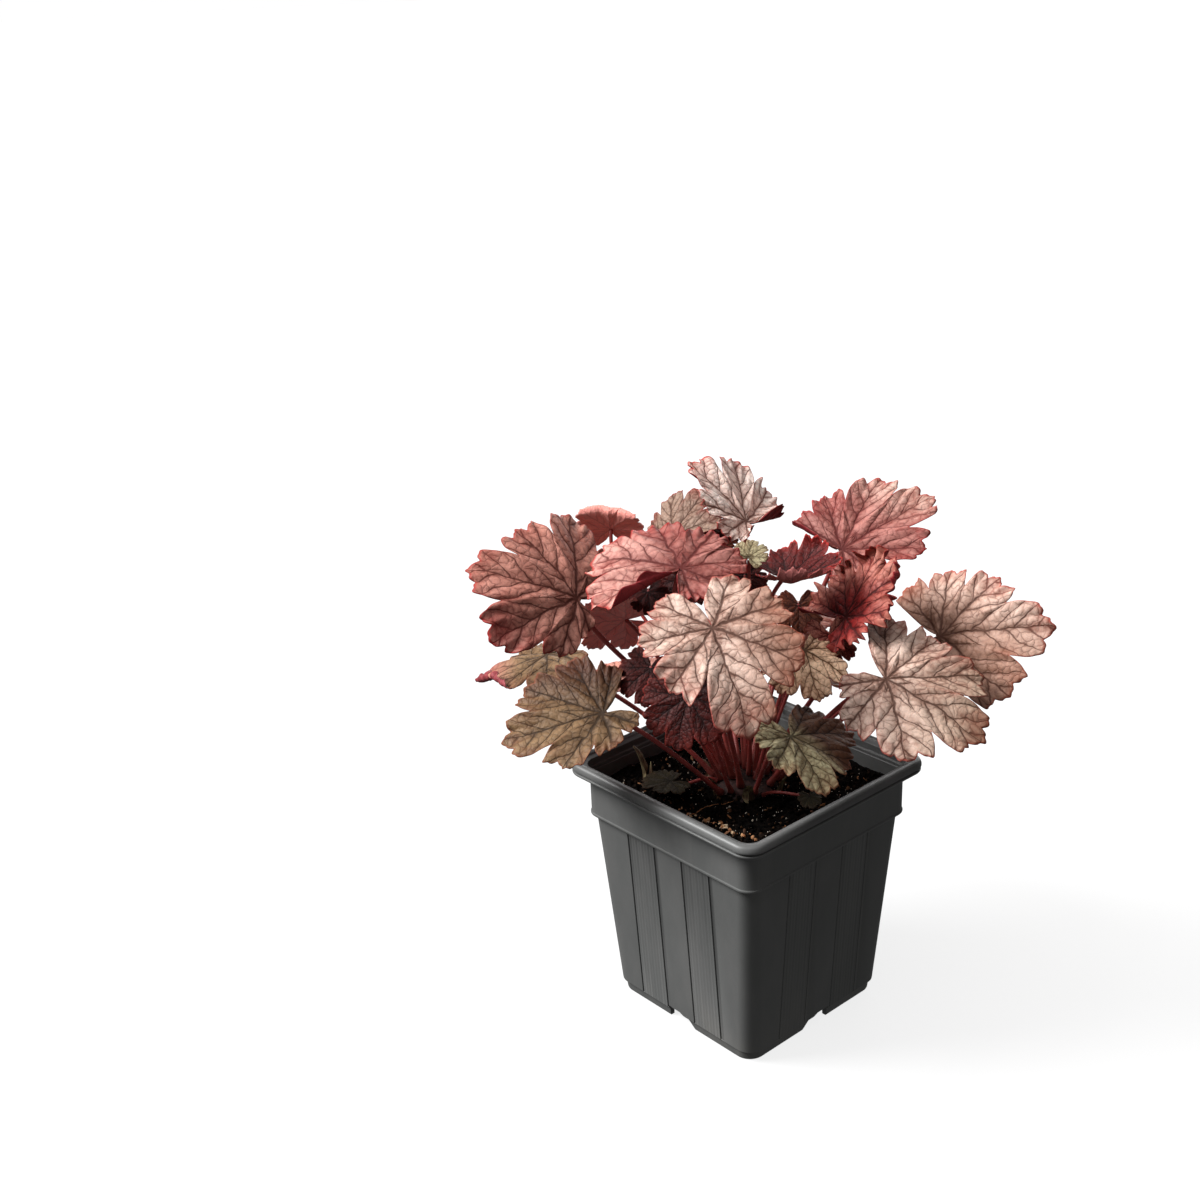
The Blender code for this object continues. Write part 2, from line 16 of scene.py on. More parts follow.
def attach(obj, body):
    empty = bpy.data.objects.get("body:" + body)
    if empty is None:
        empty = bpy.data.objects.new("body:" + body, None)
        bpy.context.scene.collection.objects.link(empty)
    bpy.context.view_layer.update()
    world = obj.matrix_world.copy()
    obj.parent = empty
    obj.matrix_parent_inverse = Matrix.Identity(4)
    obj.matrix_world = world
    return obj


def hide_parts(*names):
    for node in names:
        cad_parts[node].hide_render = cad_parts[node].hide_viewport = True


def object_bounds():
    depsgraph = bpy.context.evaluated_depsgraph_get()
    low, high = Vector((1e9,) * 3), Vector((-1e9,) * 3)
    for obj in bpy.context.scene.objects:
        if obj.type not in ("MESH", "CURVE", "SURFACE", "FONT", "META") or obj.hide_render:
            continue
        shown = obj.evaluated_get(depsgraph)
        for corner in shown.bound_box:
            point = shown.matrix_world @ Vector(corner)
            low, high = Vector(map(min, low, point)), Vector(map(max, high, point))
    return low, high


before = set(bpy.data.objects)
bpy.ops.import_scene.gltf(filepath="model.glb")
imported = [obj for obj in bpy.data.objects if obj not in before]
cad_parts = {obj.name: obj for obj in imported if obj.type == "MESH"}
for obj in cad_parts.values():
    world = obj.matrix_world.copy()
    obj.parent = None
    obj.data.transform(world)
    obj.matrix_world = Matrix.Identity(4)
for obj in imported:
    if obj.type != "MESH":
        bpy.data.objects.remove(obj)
CAD_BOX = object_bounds()

MM = 0.001

# Pot: half widths across the flats, and heights, as in the CAD model
POT_HEIGHT = 119.0 * MM
RIM_HALF = 57.15 * MM
RIM_UNDERSIDE = 113.4 * MM
MOUTH_HALF = 50.6 * MM
COLLAR_BOTTOM = 92.3 * MM
COLLAR_HALF = 51.0 * MM
BODY_TOP_HALF = 49.4 * MM
BASE_STEP = 4.0 * MM
BODY_BOTTOM_HALF = 43.0 * MM
BASE_HALF = 41.6 * MM
WALL = 1.5 * MM
FLOOR_TOP = 7.6 * MM
INNER_CORNER = 6 * MM
CORNER_ANGLES = 11
RECESS_HEIGHT = 6.0 * MM
SKIRT = 2.2 * MM
FOOT = 14.0 * MM
NOTCH_WIDTH = 16.0 * MM
DRAIN_RADIUS = 4.0 * MM
DRAIN_OFFSET = 22.0 * MM
STRIP_INNER = 8.5 * MM
STRIP_OUTER = 25.0 * MM
GROOVE_WIDTH = 1.2 * MM
GROOVE_DEPTH = 0.7 * MM
SHOULDER_DEPTH = 0.22 * MM
SHOULDER_WIDTH = 2.6 * MM
REED_DEPTHS = tuple(depth * MM for depth in (0.26, 0.14, 0.20, 0.10, 0.16, 0.12, 0.22, 0.15))

# Soil and crown
CLEAR = 0.3 * MM
SOIL_EDGE = 106.0 * MM
SOIL_BUMP = 0.8 * MM
CROWN_RADIUS = 18.0 * MM
CROWN_HALF_HEIGHT = 8.0 * MM
CROWN_CENTRE = 103.0 * MM
CROWN_GRID = (40, 96)  # points down and round
SOIL_RINGS = 90

# Leaves
LOBE_STEP = 45.0
SINUS = 168.0
SINUS_START = 138.0
LOBE_CUT = 0.17
LOBE_FULLNESS = 4.5
TOOTH_CUT = 0.07
FINE_TOOTH = 0.032
EXTRA_CUT = 0.17
NOTCH_HALF = 0.15
STALK_ARC = 0.045
PLEAT = 0.07
BLADE_THICKNESS = 0.7 * MM
SHEET_HALF = 0.24 * MM
BLADE_GRIDS = ((24, 24, 350), (12, 16, 220), (0, 9, 130))  # over a size in millimetres: rings and columns
STALK_RADIUS = 1.15 * MM
STALK_GRID = (44, 14)  # points along and round
HAIRS_PER_SIZE = 8
HAIR_LENGTHS = (0.5, 1.5)  # millimetres
HAIR_HALF_WIDTH = 0.035 * MM

# Veins, in shares of the leaf's size
SIDE_STEP = 0.21
SIDE_SLANT = 1.05
SIDE_BOW = 0.85
SIDE_SQUARE = 0.69  # from a distance along the main vein to one square to its side veins
VEIN_STAGGER = 0.37  # from one main vein's first side vein to the next one's, in steps
PUFF = 0.015

Leaf = namedtuple(
    "Leaf", "name colour bearing reach height size heading pitch roll bends spread lobes wave root"
)
LOBES = (0.72, 0.86, 0.95, 1.00, 0.95, 0.86, 0.72)
EVEN = (0.97, 0.97)
GENTLE = (25, 8, 12, 12)

# Lengths in this list are in millimetres and angles in degrees, as in the CAD model.
LEAVES = [
    Leaf("leaf_01", "rose", 233, 71, 200, 48, 249, 32, -43, (29, 5, 17, 19), (0.91, 0.95),
         (0.68, 0.98, 0.84, 1.05, 1.03, 0.62, 0.32), (1.5, 0), (215, 8)),
    Leaf("leaf_02", "pink", 250, 29, 214, 46, 105, 14, 10, (10, 10, 20, 20), (1.10, 1.0),
         (0.48, 0.60, 0.64, 0.66, 0.76, 0.92, 0.92), (2.0, 60), (246, 6)),
    Leaf("leaf_03", "cream", 299, 48, 201, 41, 334, -26, 8, (29, 6, -8, 3), (1.09, 1.04),
         (0.69, 0.77, 0.85, 1.21, 0.98, 0.77, 0.72), (1.0, 200), (300, 9)),
    Leaf("leaf_04", "cream", 13, 67, 173, 42, 11, -16, 23, (15, 4, 6, 10), (0.91, 0.99),
         (0.48, 0.71, 0.95, 1.14, 0.97, 0.77, 0.83), (1.0, 90), (17, 12)),
    Leaf("leaf_05", "tan", 46, 83, 176, 43, 19, 19, 48, (20, 5, 4, 13), (0.91, 1.01),
         (0.72, 0.86, 0.99, 1.15, 0.83, 0.73, 0.73), (1.2, 30), (46, 14)),
    Leaf("leaf_06", "pink", 90, 63, 200, 44, 71, 21, 20, (8, 4, -6, 2), (0.76, 0.88),
         (0.72, 0.42, 0.86, 1.18, 1.13, 0.78, 0.67), (1.6, 120), (90, 10)),
    Leaf("leaf_07", "tan", 132, 35, 217, 40, 197, 47, -2, (8, -60, 4, -2), (0.96, 0.87),
         (0.55, 0.75, 0.90, 0.94, 0.62, 0.52, 0.35), (1.6, 250), (132, 6)),
    Leaf("leaf_08", "red", 41, 43, 187, 39, 43, 46, 15, (12, 5, 0, 5), (0.84, 0.95),
         (0.46, 0.51, 0.73, 0.87, 0.94, 0.84, 0.92), (2.2, 10), (60, 9)),
    Leaf("leaf_09", "olive", 18, 28, 176, 25, 330, -28, 5, GENTLE, EVEN,
         (0.72, 0.86, 0.95, 1.00, 0.86, 0.58, 0.45), (1.2, 70), (5, 6)),
    Leaf("leaf_10", "olive", 250, 66, 155, 40, 227, -14, -26, (9, 1, -5, -13), (1.07, 0.80),
         (0.63, 0.86, 1.06, 1.16, 0.76, 0.51, 0.45), (1.0, 140), (268, 15)),
    Leaf("leaf_11", "dark", 277, 39, 164, 24, 290, -55, -10, GENTLE, EVEN, LOBES, (1.2, 0), (285, 13)),
    Leaf("leaf_12", "dark", 243, 42, 169, 18, 300, -45, 0, GENTLE, EVEN,
         (0.72, 0.86, 0.95, 1.00, 0.80, 0.52, 0.45), (1.2, 90), (234, 11)),
    Leaf("leaf_13", "green", 336, 50, 153, 30, 342, -18, -7, (16, 3, 8, 6), (0.97, 1.02),
         (0.49, 0.58, 0.73, 1.06, 0.91, 1.03, 0.78), (0.8, 180), (332, 13)),
    Leaf("leaf_14", "olive", 209, 91, 159, 39, 229, -14, 4, (22, 5, 24, 20), EVEN,
         (0.55, 0.62, 0.74, 1.07, 0.90, 0.76, 0.65), (1.5, 40), (212, 14)),
    Leaf("leaf_15", "dark", 207, 54, 179, 26, 229, 0, 55, GENTLE, EVEN, LOBES, (1.5, 20), (198, 12)),
    Leaf("leaf_16", "dark", 184, 78, 209, 20, 305, 65, 0, GENTLE, EVEN, LOBES, (2.0, 110), (152, 12.5)),
    Leaf("leaf_17", "taupe", 166, 60, 204, 28, 80, 55, 0, GENTLE, EVEN, LOBES, (1.5, 0), (170, 10)),
    Leaf("leaf_18", "brown", 148, 43, 206, 10, 139, 40, 0, GENTLE, EVEN, LOBES, (0.8, 0), (138, 9.5)),
    Leaf("leaf_19", "green", 89, 3, 213, 10, 120, 40, 0, GENTLE, EVEN, LOBES, (0.6, 0), (20, 1.5)),
    Leaf("leaf_20", "dark", 59, 18, 203, 26, 49, 0, 0, (-30, -30, -50, -50), EVEN, LOBES, (2.5, 60), (40, 4)),
    Leaf("leaf_21", "brown", 98, 41, 178, 14, 319, -50, 0, GENTLE, EVEN, LOBES, (1.0, 0), (102, 9)),
    Leaf("leaf_22", "olive", 355, 41, 117, 6.5, 330, -20, 0, GENTLE, EVEN, LOBES, (0.3, 0), (345, 15)),
    Leaf("leaf_23", "olive", 239, 34, 112, 14, 250, 4, 0, (8, 4, 4, 4), EVEN, LOBES, (0.6, 0), (234, 13)),
    Leaf("leaf_24", "rose", 116, 66, 163, 40, 118, -5, 0, GENTLE, EVEN, LOBES, (1.5, 30), (116, 12)),
    Leaf("leaf_25", "tan", 146, 72, 150, 38, 150, -10, 0, GENTLE, EVEN, LOBES, (1.5, 80), (145, 14)),
    Leaf("leaf_26", "rose", 178, 74, 136, 34, 180, -8, 0, GENTLE, EVEN, LOBES, (1.5, 130), (180, 15)),
    Leaf("leaf_27", "tan", 88, 74, 129, 34, 88, -10, 0, GENTLE, EVEN, LOBES, (1.5, 190), (76, 15)),
    Leaf("leaf_28", "olive", 122, 88, 134, 34, 126, -16, 0, GENTLE, EVEN, LOBES, (1.2, 240), (125, 15.5)),
]
# Small folded leaves low in the middle, too small for the CAD model
YOUNG_LEAVES = [
    Leaf("young_1", "dark", 195, 30, 198, 15, 325, -55, 10, (20, 10, 30, 25),
         EVEN, LOBES, (1.6, 40), (190, 9)),
    Leaf("young_2", "dark", 133, 20, 197, 14, 322, -50, -12, (20, 10, 25, 30),
         EVEN, LOBES, (1.8, 130), (110, 5)),
    Leaf("young_3", "red", 35, 36, 180, 15, 330, -52, 8, (20, 10, 25, 20),
         EVEN, LOBES, (2.0, 80), (50, 6)),
    Leaf("young_4", "brown", 28, 25, 172, 13, 338, -45, 8, (20, 10, 25, 20),
         EVEN, LOBES, (1.4, 80), (35, 7)),
    Leaf("young_5", "dark", 212, 42, 195, 11, 320, -50, 6, (20, 10, 30, 25),
         EVEN, LOBES, (1.4, 200), (205, 8)),
]
ONE_PIECE = ("dark", "taupe", "brown")  # colours whose stalk and blade are one CAD node

# Colours of each kind of leaf as seen in even light, save the painted light and shade marked below: blade,
# patches, veins, edge and underside
Palette = namedtuple("Palette", "blade patch vein edge under")
PALETTES = {
    "rose": Palette((202, 140, 124), (162, 102, 88), (80, 36, 28), (150, 60, 50), (138, 58, 62)),
    "pink": Palette((170, 112, 103), (128, 64, 57), (82, 28, 25), (156, 36, 36), (146, 48, 52)),
    "blush": Palette((222, 170, 157), (170, 109, 100), (84, 38, 34), (168, 60, 54), (146, 48, 52)),
    "cream": Palette((216, 187, 172), (172, 133, 117), (74, 46, 36), (168, 80, 70), (160, 66, 70)),
    "tan": Palette((168, 128, 110), (128, 91, 73), (74, 42, 30), (156, 80, 60), (144, 56, 60)),
    "shell": Palette((255, 234, 223), (236, 196, 182), (98, 60, 48), (168, 60, 50), (122, 36, 38)),
    "red": Palette((176, 112, 98), (134, 54, 46), (66, 15, 13), (146, 44, 36), (136, 34, 38)),
    "crimson": Palette((150, 38, 36), (110, 22, 22), (56, 9, 9), (146, 38, 30), (130, 20, 24)),
    "olive": Palette((134, 106, 77), (98, 72, 48), (48, 33, 18), (124, 72, 48), (170, 84, 90)),
    "sage": Palette((246, 207, 174), (196, 150, 117), (66, 44, 26), (150, 84, 62), (140, 70, 66)),
    "green": Palette((190, 180, 144), (140, 120, 88), (60, 50, 30), (140, 92, 66), (140, 104, 92)),
    "umber": Palette((94, 62, 44), (70, 42, 28), (38, 23, 15), (120, 70, 52), (110, 70, 60)),
    # Painted shade: a dark olive, darker than the leaves' own colour, for small leaves that lie in shade
    "olive_painted_shade": Palette((60, 53, 34), (44, 37, 22), (24, 20, 12), (66, 47, 32), (60, 44, 36)),
    "dark": Palette((84, 25, 20), (56, 14, 12), (28, 7, 7), (132, 44, 36), (140, 66, 76)),
    "ruby": Palette((86, 22, 20), (58, 13, 12), (32, 8, 8), (176, 44, 38), (176, 104, 100)),
    # The undersides of the next two are painted light: paler than the leaves' own colour, to make up for
    # light that they don't catch here
    "plum_and_painted_light": Palette((236, 134, 126), (182, 90, 88), (60, 22, 26), (186, 90, 86), (255, 172, 164)),
    "wine_and_painted_light": Palette((208, 118, 108), (156, 72, 64), (66, 18, 16), (176, 60, 54), (244, 158, 146)),
    "taupe": Palette((150, 124, 108), (116, 84, 70), (66, 42, 30), (140, 40, 36), (130, 54, 56)),
    "brown": Palette((122, 66, 42), (84, 38, 26), (48, 18, 12), (120, 48, 34), (100, 32, 28)),
}
# The others use their colour's own palette.
PALETTE_OF = {
    "leaf_07": "shell", "leaf_09": "sage", "leaf_15": "plum_and_painted_light", "leaf_16": "wine_and_painted_light", "leaf_20": "ruby",
    "leaf_22": "olive_painted_shade", "leaf_23": "olive_painted_shade",
}
# A second palette over part of a leaf: its name, the angle that it grows towards, and the shares of the size
# where it starts and is full; without an angle it grows from the edge to the stalk
TINTS_AND_SHADE = {
    "leaf_01": ("pink", 60, 0.30, 1.10),
    "leaf_02": ("blush", 120, 0.00, 0.80),
    # leaf_03: the tan palette on its right-hand side is painted shade
    "leaf_03": ("tan", 75, 0.02, 0.72),
    "leaf_04": ("olive", 20, -0.30, 1.80),
    "leaf_05": ("cream", 60, -0.10, 0.90),
    "leaf_06": ("cream", 20, 0.40, 1.30),
    "leaf_08": ("crimson", None, 0.34, 0.80),
    "leaf_10": ("umber", -120, -0.10, 0.60),
    "leaf_13": ("umber", 110, -0.05, 0.35),
    "leaf_14": ("rose", 0, 0.30, 0.90),
}
NO_TINT = ("olive_painted_shade", 0, 9, 10)  # starts past the edge

# Edges that roll up: the direction they roll from, the line's distance and the roll's radius in shares of the
# size, the turn, and the range of the leaf's angles that takes part
CURLS = {
    "leaf_02": [(250, 0.0, 0.035, 130, 146, 180), (120, 0.0, 0.035, 110, -180, -152)],
    "leaf_05": [(223, 0.0, 0.045, 150, 144, 180)],
    "leaf_06": [(196, 0.0, 0.045, 150, 138, 180)],
    "leaf_07": [(198, 0.0, 0.06, 150, 112, 180), (166, 0.0, 0.05, 130, -180, -120)],
    "leaf_08": [(62, 0.66, 0.07, 110, -180, 180), (-30, 0.60, 0.06, 100, -180, 180),
                (212, 0.0, 0.05, 120, 140, 180)],
    "leaf_14": [(32, 0.66, 0.07, 165, -180, 180)],
    "leaf_16": [(0, 0.45, 0.12, 150, -180, 180)],
    "leaf_20": [(-95, 0.52, 0.10, 150, -180, 180), (60, 0.66, 0.09, 120, -180, 180)],
}
# How much stronger the edge's ruffle is than on the others
CRINKLE = {"leaf_02": 1.8, "leaf_07": 1.5, "leaf_08": 3.0, "leaf_09": 1.8, "leaf_21": 2.0}
# Depths of the six notches between lobes, from the leaf's right-hand side to its left; random on the others
NOTCHES = {
    "leaf_01": (0.1, 0.5, 0.6, 0.1, 0.1, 0.1), "leaf_02": (0.2, 0.5, 0.2, 0.3, 0.1, 0.2),
    "leaf_03": (0.1, 0.3, 1.8, 1.2, 0.7, 0.2), "leaf_04": (0.3, 0.3, 0.4, 0.7, 0.2, 0.4),
    "leaf_05": (0.6, 0.3, 0.2, 0.1, 0.3, 0.2), "leaf_06": (0.1, 0.7, 0.5, 0.2, 0.6, 0.2),
    "leaf_15": (0.1,) * 6, "leaf_16": (0.0,) * 6, "leaf_20": (0.0,) * 6,
}


# Shader expressions


def operation(name, swapped=False):
    """A method that adds one Math node."""
    def act(self, other):
        pair = (other, self) if swapped else (self, other)
        return self.finish.node("Math", {"operation": name}, {0: pair[0], 1: pair[1]})
    return act


def vector_operation(name, socket=1):
    """A method that adds one Vector Math node."""
    def act(self, vector, by):
        return self.node("VectorMath", {"operation": name}, {0: vector, socket: by})
    return act


class Value:
    """A value in a material. Arithmetic on it adds the nodes that work it out."""

    def __init__(self, finish, socket):
        self.finish = finish
        self.socket = socket

    __add__ = operation("ADD")
    __radd__ = operation("ADD", True)
    __sub__ = operation("SUBTRACT")
    __rsub__ = operation("SUBTRACT", True)
    __mul__ = operation("MULTIPLY")
    __rmul__ = operation("MULTIPLY", True)
    __truediv__ = operation("DIVIDE")
    __rtruediv__ = operation("DIVIDE", True)
    __pow__ = operation("POWER")
    least = operation("MINIMUM")
    most = operation("MAXIMUM")
    over = operation("GREATER_THAN")

    def one(self, name):
        return self.finish.node("Math", {"operation": name}, {0: self})

    def size(self):
        return self.one("ABSOLUTE")

    def other(self, number):
        """Another output of the node that this value comes from."""
        return Value(self.finish, self.socket.node.outputs[number])

    def between(self, low, high):
        """0 below low, 1 above high and smooth between."""
        sockets = {"Value": self, "From Min": low, "From Max": high}
        return self.finish.node("MapRange", {"interpolation_type": "SMOOTHSTEP", "clamp": True}, sockets)


class Finish:
    """A material that is being put together."""

    def __init__(self, name):
        self.material = bpy.data.materials.new(name)
        self.material.use_nodes = True
        self.tree = self.material.node_tree
        self.shader = self.tree.nodes["Principled BSDF"]

    def feed(self, socket, value):
        if isinstance(value, Value):
            self.tree.links.new(value.socket, socket)
        else:
            socket.default_value = value

    def node(self, kind, settings, sockets, out=0):
        """Adds a node of a type: its settings first, then the values or links of its sockets."""
        made = self.tree.nodes.new("ShaderNode" + kind)
        for name, value in settings.items():
            if name == "stops":
                self.set_stops(made.color_ramp, value)
            else:
                setattr(made, name, value)
        for name, value in sockets.items():
            self.feed(made.inputs[name], value)
        return Value(self, made.outputs[out])

    def set_stops(self, ramp, stops):
        while len(ramp.elements) < len(stops):
            ramp.elements.new(0.5)
        for element, (place, colour) in zip(ramp.elements, stops):
            element.position = place
            element.color = (*colour, 1.0)

    def place(self):
        return self.node("TexCoord", {}, {}, "Object")

    def attribute(self, name, out="Color"):
        return self.node("Attribute", {"attribute_name": name}, {}, out)

    def noise(self, place, scale, detail=3.0, roughness=0.5, flat=False, out=0):
        settings = {"noise_dimensions": "2D" if flat else "3D"}
        sockets = {"Vector": place, "Scale": scale, "Detail": detail, "Roughness": roughness}
        return self.node("TexNoise", settings, sockets, out)

    def cell_edges(self, place, scale):
        """Distance to the nearest border of a net of cells."""
        settings = {"feature": "DISTANCE_TO_EDGE", "voronoi_dimensions": "2D"}
        return self.node("TexVoronoi", settings, {"Vector": place, "Scale": scale}, "Distance")

    move = vector_operation("ADD")
    scale = vector_operation("SCALE", "Scale")
    stretch = vector_operation("MULTIPLY")

    def mix(self, factor, first, second, blend="MIX"):
        """Colours: first where factor is 0, second where it is 1."""
        settings = {"data_type": "RGBA", "blend_type": blend, "clamp_factor": True}
        sockets = {0: factor, 6: opaque(first), 7: opaque(second)}
        return self.node("Mix", settings, sockets, 2)

    def bump(self, height, distance, strength=1.0):
        sockets = {"Height": height, "Distance": distance, "Strength": strength}
        return self.node("Bump", {}, sockets)

    def done(self, **sockets):
        """Feeds the shader's sockets; names are written with _ for the space between words."""
        for name, value in sockets.items():
            self.feed(self.shader.inputs[name.replace("_", " ")], value)
        return self.material


def opaque(colour):
    return colour if isinstance(colour, Value) else (*colour, 1.0)


def seen(red, green, blue):
    """Linear colour from 0 to 255 screen values."""
    share = np.array([red, green, blue]) / 255
    linear = np.where(share < 0.04045, share / 12.92, ((share + 0.055) / 1.055) ** 2.4)
    return tuple(float(value) for value in linear)


# Meshes


Shell = namedtuple("Shell", "points faces layers material")


def grid_faces(rows, columns):
    """Faces of a closed surface: a pole, rows of points in a ring each, and a pole.

    The points are numbered pole first, then row by row, then the last pole. Going along a row and then to the
    next row turns a right-hand screw into the surface, so the faces point outwards.
    """
    ring = np.arange(columns)
    following = (ring + 1) % columns
    start = 1 + np.arange(rows - 1)[:, None] * columns
    below = start + columns
    quads = np.stack([start + ring, below + ring, below + following, start + following], -1)
    last_row = 1 + (rows - 1) * columns
    pole = np.zeros(columns, int)
    end = pole + 1 + rows * columns
    first_fan = np.stack([pole, 1 + ring, 1 + following], -1)
    last_fan = np.stack([last_row + ring, end, last_row + following], -1)
    return [quads.reshape(-1, 4), first_fan, last_fan]


def closed_points(rows, first, last):
    """Rows of ring points with a pole before and after them, as one list."""
    first, last = np.reshape(first, (1, -1)), np.reshape(last, (1, -1))
    return np.concatenate([first, rows.reshape(-1, rows.shape[-1]), last])


def closed_values(rows, first, last):
    """The same for one number per point."""
    return closed_points(rows[..., None], [first], [last])[:, 0]


def put_in_scene(name, data):
    thing = bpy.data.objects.new(name, data)
    bpy.context.scene.collection.objects.link(thing)
    return thing


def make_piece(name, shells, materials, smooth=True):
    """One mesh object from several shells, each with its faces' material."""
    offset, points, faces, slots = 0, [], [], []
    for shell in shells:
        points.append(shell.points)
        for block in shell.faces:
            faces += (block + offset).tolist()
            slots += [shell.material] * len(block)
        offset += len(shell.points)
    mesh = bpy.data.meshes.new(name)
    mesh.from_pydata(np.concatenate(points), [], faces)
    for material in materials:
        mesh.materials.append(material)
    mesh.polygons.foreach_set("material_index", np.array(slots, np.int32))
    mesh.polygons.foreach_set("use_smooth", np.full(len(faces), smooth))
    for layer in shells[0].layers:
        add_layer(mesh, layer, shells)
    mesh.update()
    return put_in_scene(name, mesh)


def add_layer(mesh, layer, shells):
    """A value per point: a number, a colour of three, or a place on the surface of two."""
    values = np.concatenate([shell.layers[layer] for shell in shells]).astype(np.float32)
    if values.ndim == 1:
        mesh.attributes.new(layer, "FLOAT", "POINT").data.foreach_set("value", values)
    elif values.shape[1] == 3:
        colours = np.concatenate([values, np.ones((len(values), 1), np.float32)], 1)
        mesh.attributes.new(layer, "FLOAT_COLOR", "POINT").data.foreach_set("color", colours.ravel())
    else:
        corners = np.empty(len(mesh.loops), np.int32)
        mesh.loops.foreach_get("vertex_index", corners)
        mesh.uv_layers.new(name=layer).data.foreach_set("uv", values[corners].ravel())


def stand_in(piece, slot, *nodes):
    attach(piece, "root")
    if nodes:
        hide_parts(*nodes)
    return piece


def hills(x, y, cell, seed):
    """Smooth random heights from -1 to 1: random values on a square lattice, joined by smooth steps."""
    table = np.random.default_rng(seed).uniform(-1, 1, (256, 256))
    column, row = np.floor(x / cell).astype(int), np.floor(y / cell).astype(int)
    right, up = x / cell - column, y / cell - row
    right, up = right * right * (3 - 2 * right), up * up * (3 - 2 * up)
    a, b = table[row % 256, column % 256], table[row % 256, (column + 1) % 256]
    c, d = table[(row + 1) % 256, column % 256], table[(row + 1) % 256, (column + 1) % 256]
    return (a * (1 - right) + b * right) * (1 - up) + (c * (1 - right) + d * right) * up


def polar(bearing, reach, height):
    """A point from its bearing, its distance from the middle axis and its height."""
    return Vector((reach * math.cos(bearing), reach * math.sin(bearing), height))


def unit(vectors):
    return vectors / np.maximum(np.linalg.norm(vectors, axis=-1, keepdims=True), 1e-12)


# Blades


def edge_distance(angle, lobes):
    """The CAD model's edge at an angle in degrees, as a share of the leaf's size.

    A lobe's length, read along the list by smooth steps, times a lobe's round end, times one of its three
    teeth, times a curve that closes the edge behind the stalk.
    """
    middle = np.clip(np.round(angle / LOBE_STEP), -3, 3)
    off = angle / LOBE_STEP - middle
    aside = np.minimum(np.abs(off), 0.5)
    length = np.interp(middle + np.sign(off) * aside**2 * (3 - 2 * aside), np.arange(-3, 4), lobes)
    lobe = 1 - LOBE_CUT * (2 * aside) ** LOBE_FULLNESS
    tooth_off = 3 * off - np.round(3 * off)
    tooth = 1 - TOOTH_CUT * (2 * np.abs(tooth_off)) ** 1.6
    turn = np.clip((np.abs(angle) - SINUS_START) / (SINUS - SINUS_START), 0, 1)
    return length * lobe * tooth * np.sqrt(1 - turn**2.2)


def fine_edge(angle, leaf, seed):
    """The edge with small teeth: three pointed ones on each of the CAD model's, of uneven height.

    Between two lobes it runs in further, in a narrow notch of uneven depth. Behind the stalk it closes in a
    small arc round it.
    """
    place = angle / LOBE_STEP * 9
    count = np.floor(place + 0.5).astype(int)
    uneven = np.random.default_rng(seed).uniform(0.2, 1.0, 200)[count % 200]
    point = 1 - (2 * np.abs(place - count)) ** 1.3
    between = np.floor(angle / LOBE_STEP).astype(int)
    near = 1 - np.clip(np.abs(angle / LOBE_STEP - between - 0.5) / NOTCH_HALF, 0, 1)
    deep = np.array(NOTCHES.get(leaf.name, np.random.default_rng(seed + 50).uniform(0.1, 0.8, 6)))
    deep = deep[np.clip(between + 3, 0, 5)] * (np.abs(angle) < 3 * LOBE_STEP)
    teeth = 1 - FINE_TOOTH + FINE_TOOTH * uneven * point
    notches = 1 - EXTRA_CUT * deep * near**1.3
    return np.maximum(edge_distance(angle, leaf.lobes) * teeth * notches, STALK_ARC)


def edge_angles(leaf, columns, seed):
    """Angles that stand evenly along the edge."""
    fine = np.linspace(-180, 180, 6001)
    edge = fine_edge(fine, leaf, seed)
    x, y = edge * np.cos(np.radians(fine)), edge * np.sin(np.radians(fine))
    run = np.concatenate([[0], np.cumsum(np.hypot(np.diff(x), np.diff(y)) + 1e-4)])
    return np.interp(np.arange(columns) / columns * run[-1], run, fine)


def arc(distance, ahead, behind, size):
    """Bends a straight line: ahead and behind are the angles in degrees turned through over one size."""
    curve = np.radians(np.where(distance >= 0, ahead, behind)) / size
    curve = np.where(np.abs(curve) < 1e-6, 1e-6, curve)
    return np.sin(curve * distance) / curve, -(1 - np.cos(curve * np.abs(distance))) / curve


def blade_axes(leaf):
    """Unit vectors along the middle lobe, to its left, and out of the upper face."""
    heading, pitch, roll = (math.radians(a) for a in (leaf.heading, leaf.pitch, leaf.roll))
    along = polar(heading, math.cos(pitch), math.sin(pitch))
    level = Vector((-math.sin(heading), math.cos(heading), 0))
    above = along.cross(level)
    left = level * math.cos(roll) + above * math.sin(roll)
    return along, left, along.cross(left)


def leaf_foot(leaf):
    return polar(math.radians(leaf.bearing), leaf.reach, leaf.height) * MM


def vein_plane(share, angle, seed):
    """Places on the flat leaf, swayed by a few long waves so that no vein is straight."""
    u, v = share * np.cos(np.radians(angle)), share * np.sin(np.radians(angle))
    sway = np.random.default_rng(seed).uniform(0, 6.28, 4)
    amount = 0.022 * share
    warped_u = u + amount * (np.sin(7 * v + sway[0]) + 0.6 * np.sin(13 * u + 5 * v + sway[1]))
    warped_v = v + amount * (np.sin(8 * u + sway[2]) + 0.6 * np.sin(12 * v - 6 * u + sway[3]))
    return warped_u, warped_v


def vein_distances(u, v):
    """Distances of a place on the flat leaf from the nearest main vein and the nearest side vein.

    Main veins leave the stalk every LOBE_STEP. Side veins leave a main vein every SIDE_STEP on each side in
    turn, at the slant SIDE_SLANT, and bow forwards by SIDE_BOW.
    """
    step = math.radians(LOBE_STEP)
    angle = np.arctan2(v, u) / step
    vein = np.clip(np.round(angle), -3, 3)
    radius = np.hypot(u, v)
    along, across = radius * np.cos((angle - vein) * step), radius * np.sin((angle - vein) * step)
    run = along - SIDE_SLANT * np.abs(across) - SIDE_BOW * across**2
    turn = run / SIDE_STEP + 0.5 * (across > 0) + VEIN_STAGGER * vein
    return np.abs(across), np.abs(turn - np.round(turn)) * SIDE_STEP * SIDE_SQUARE


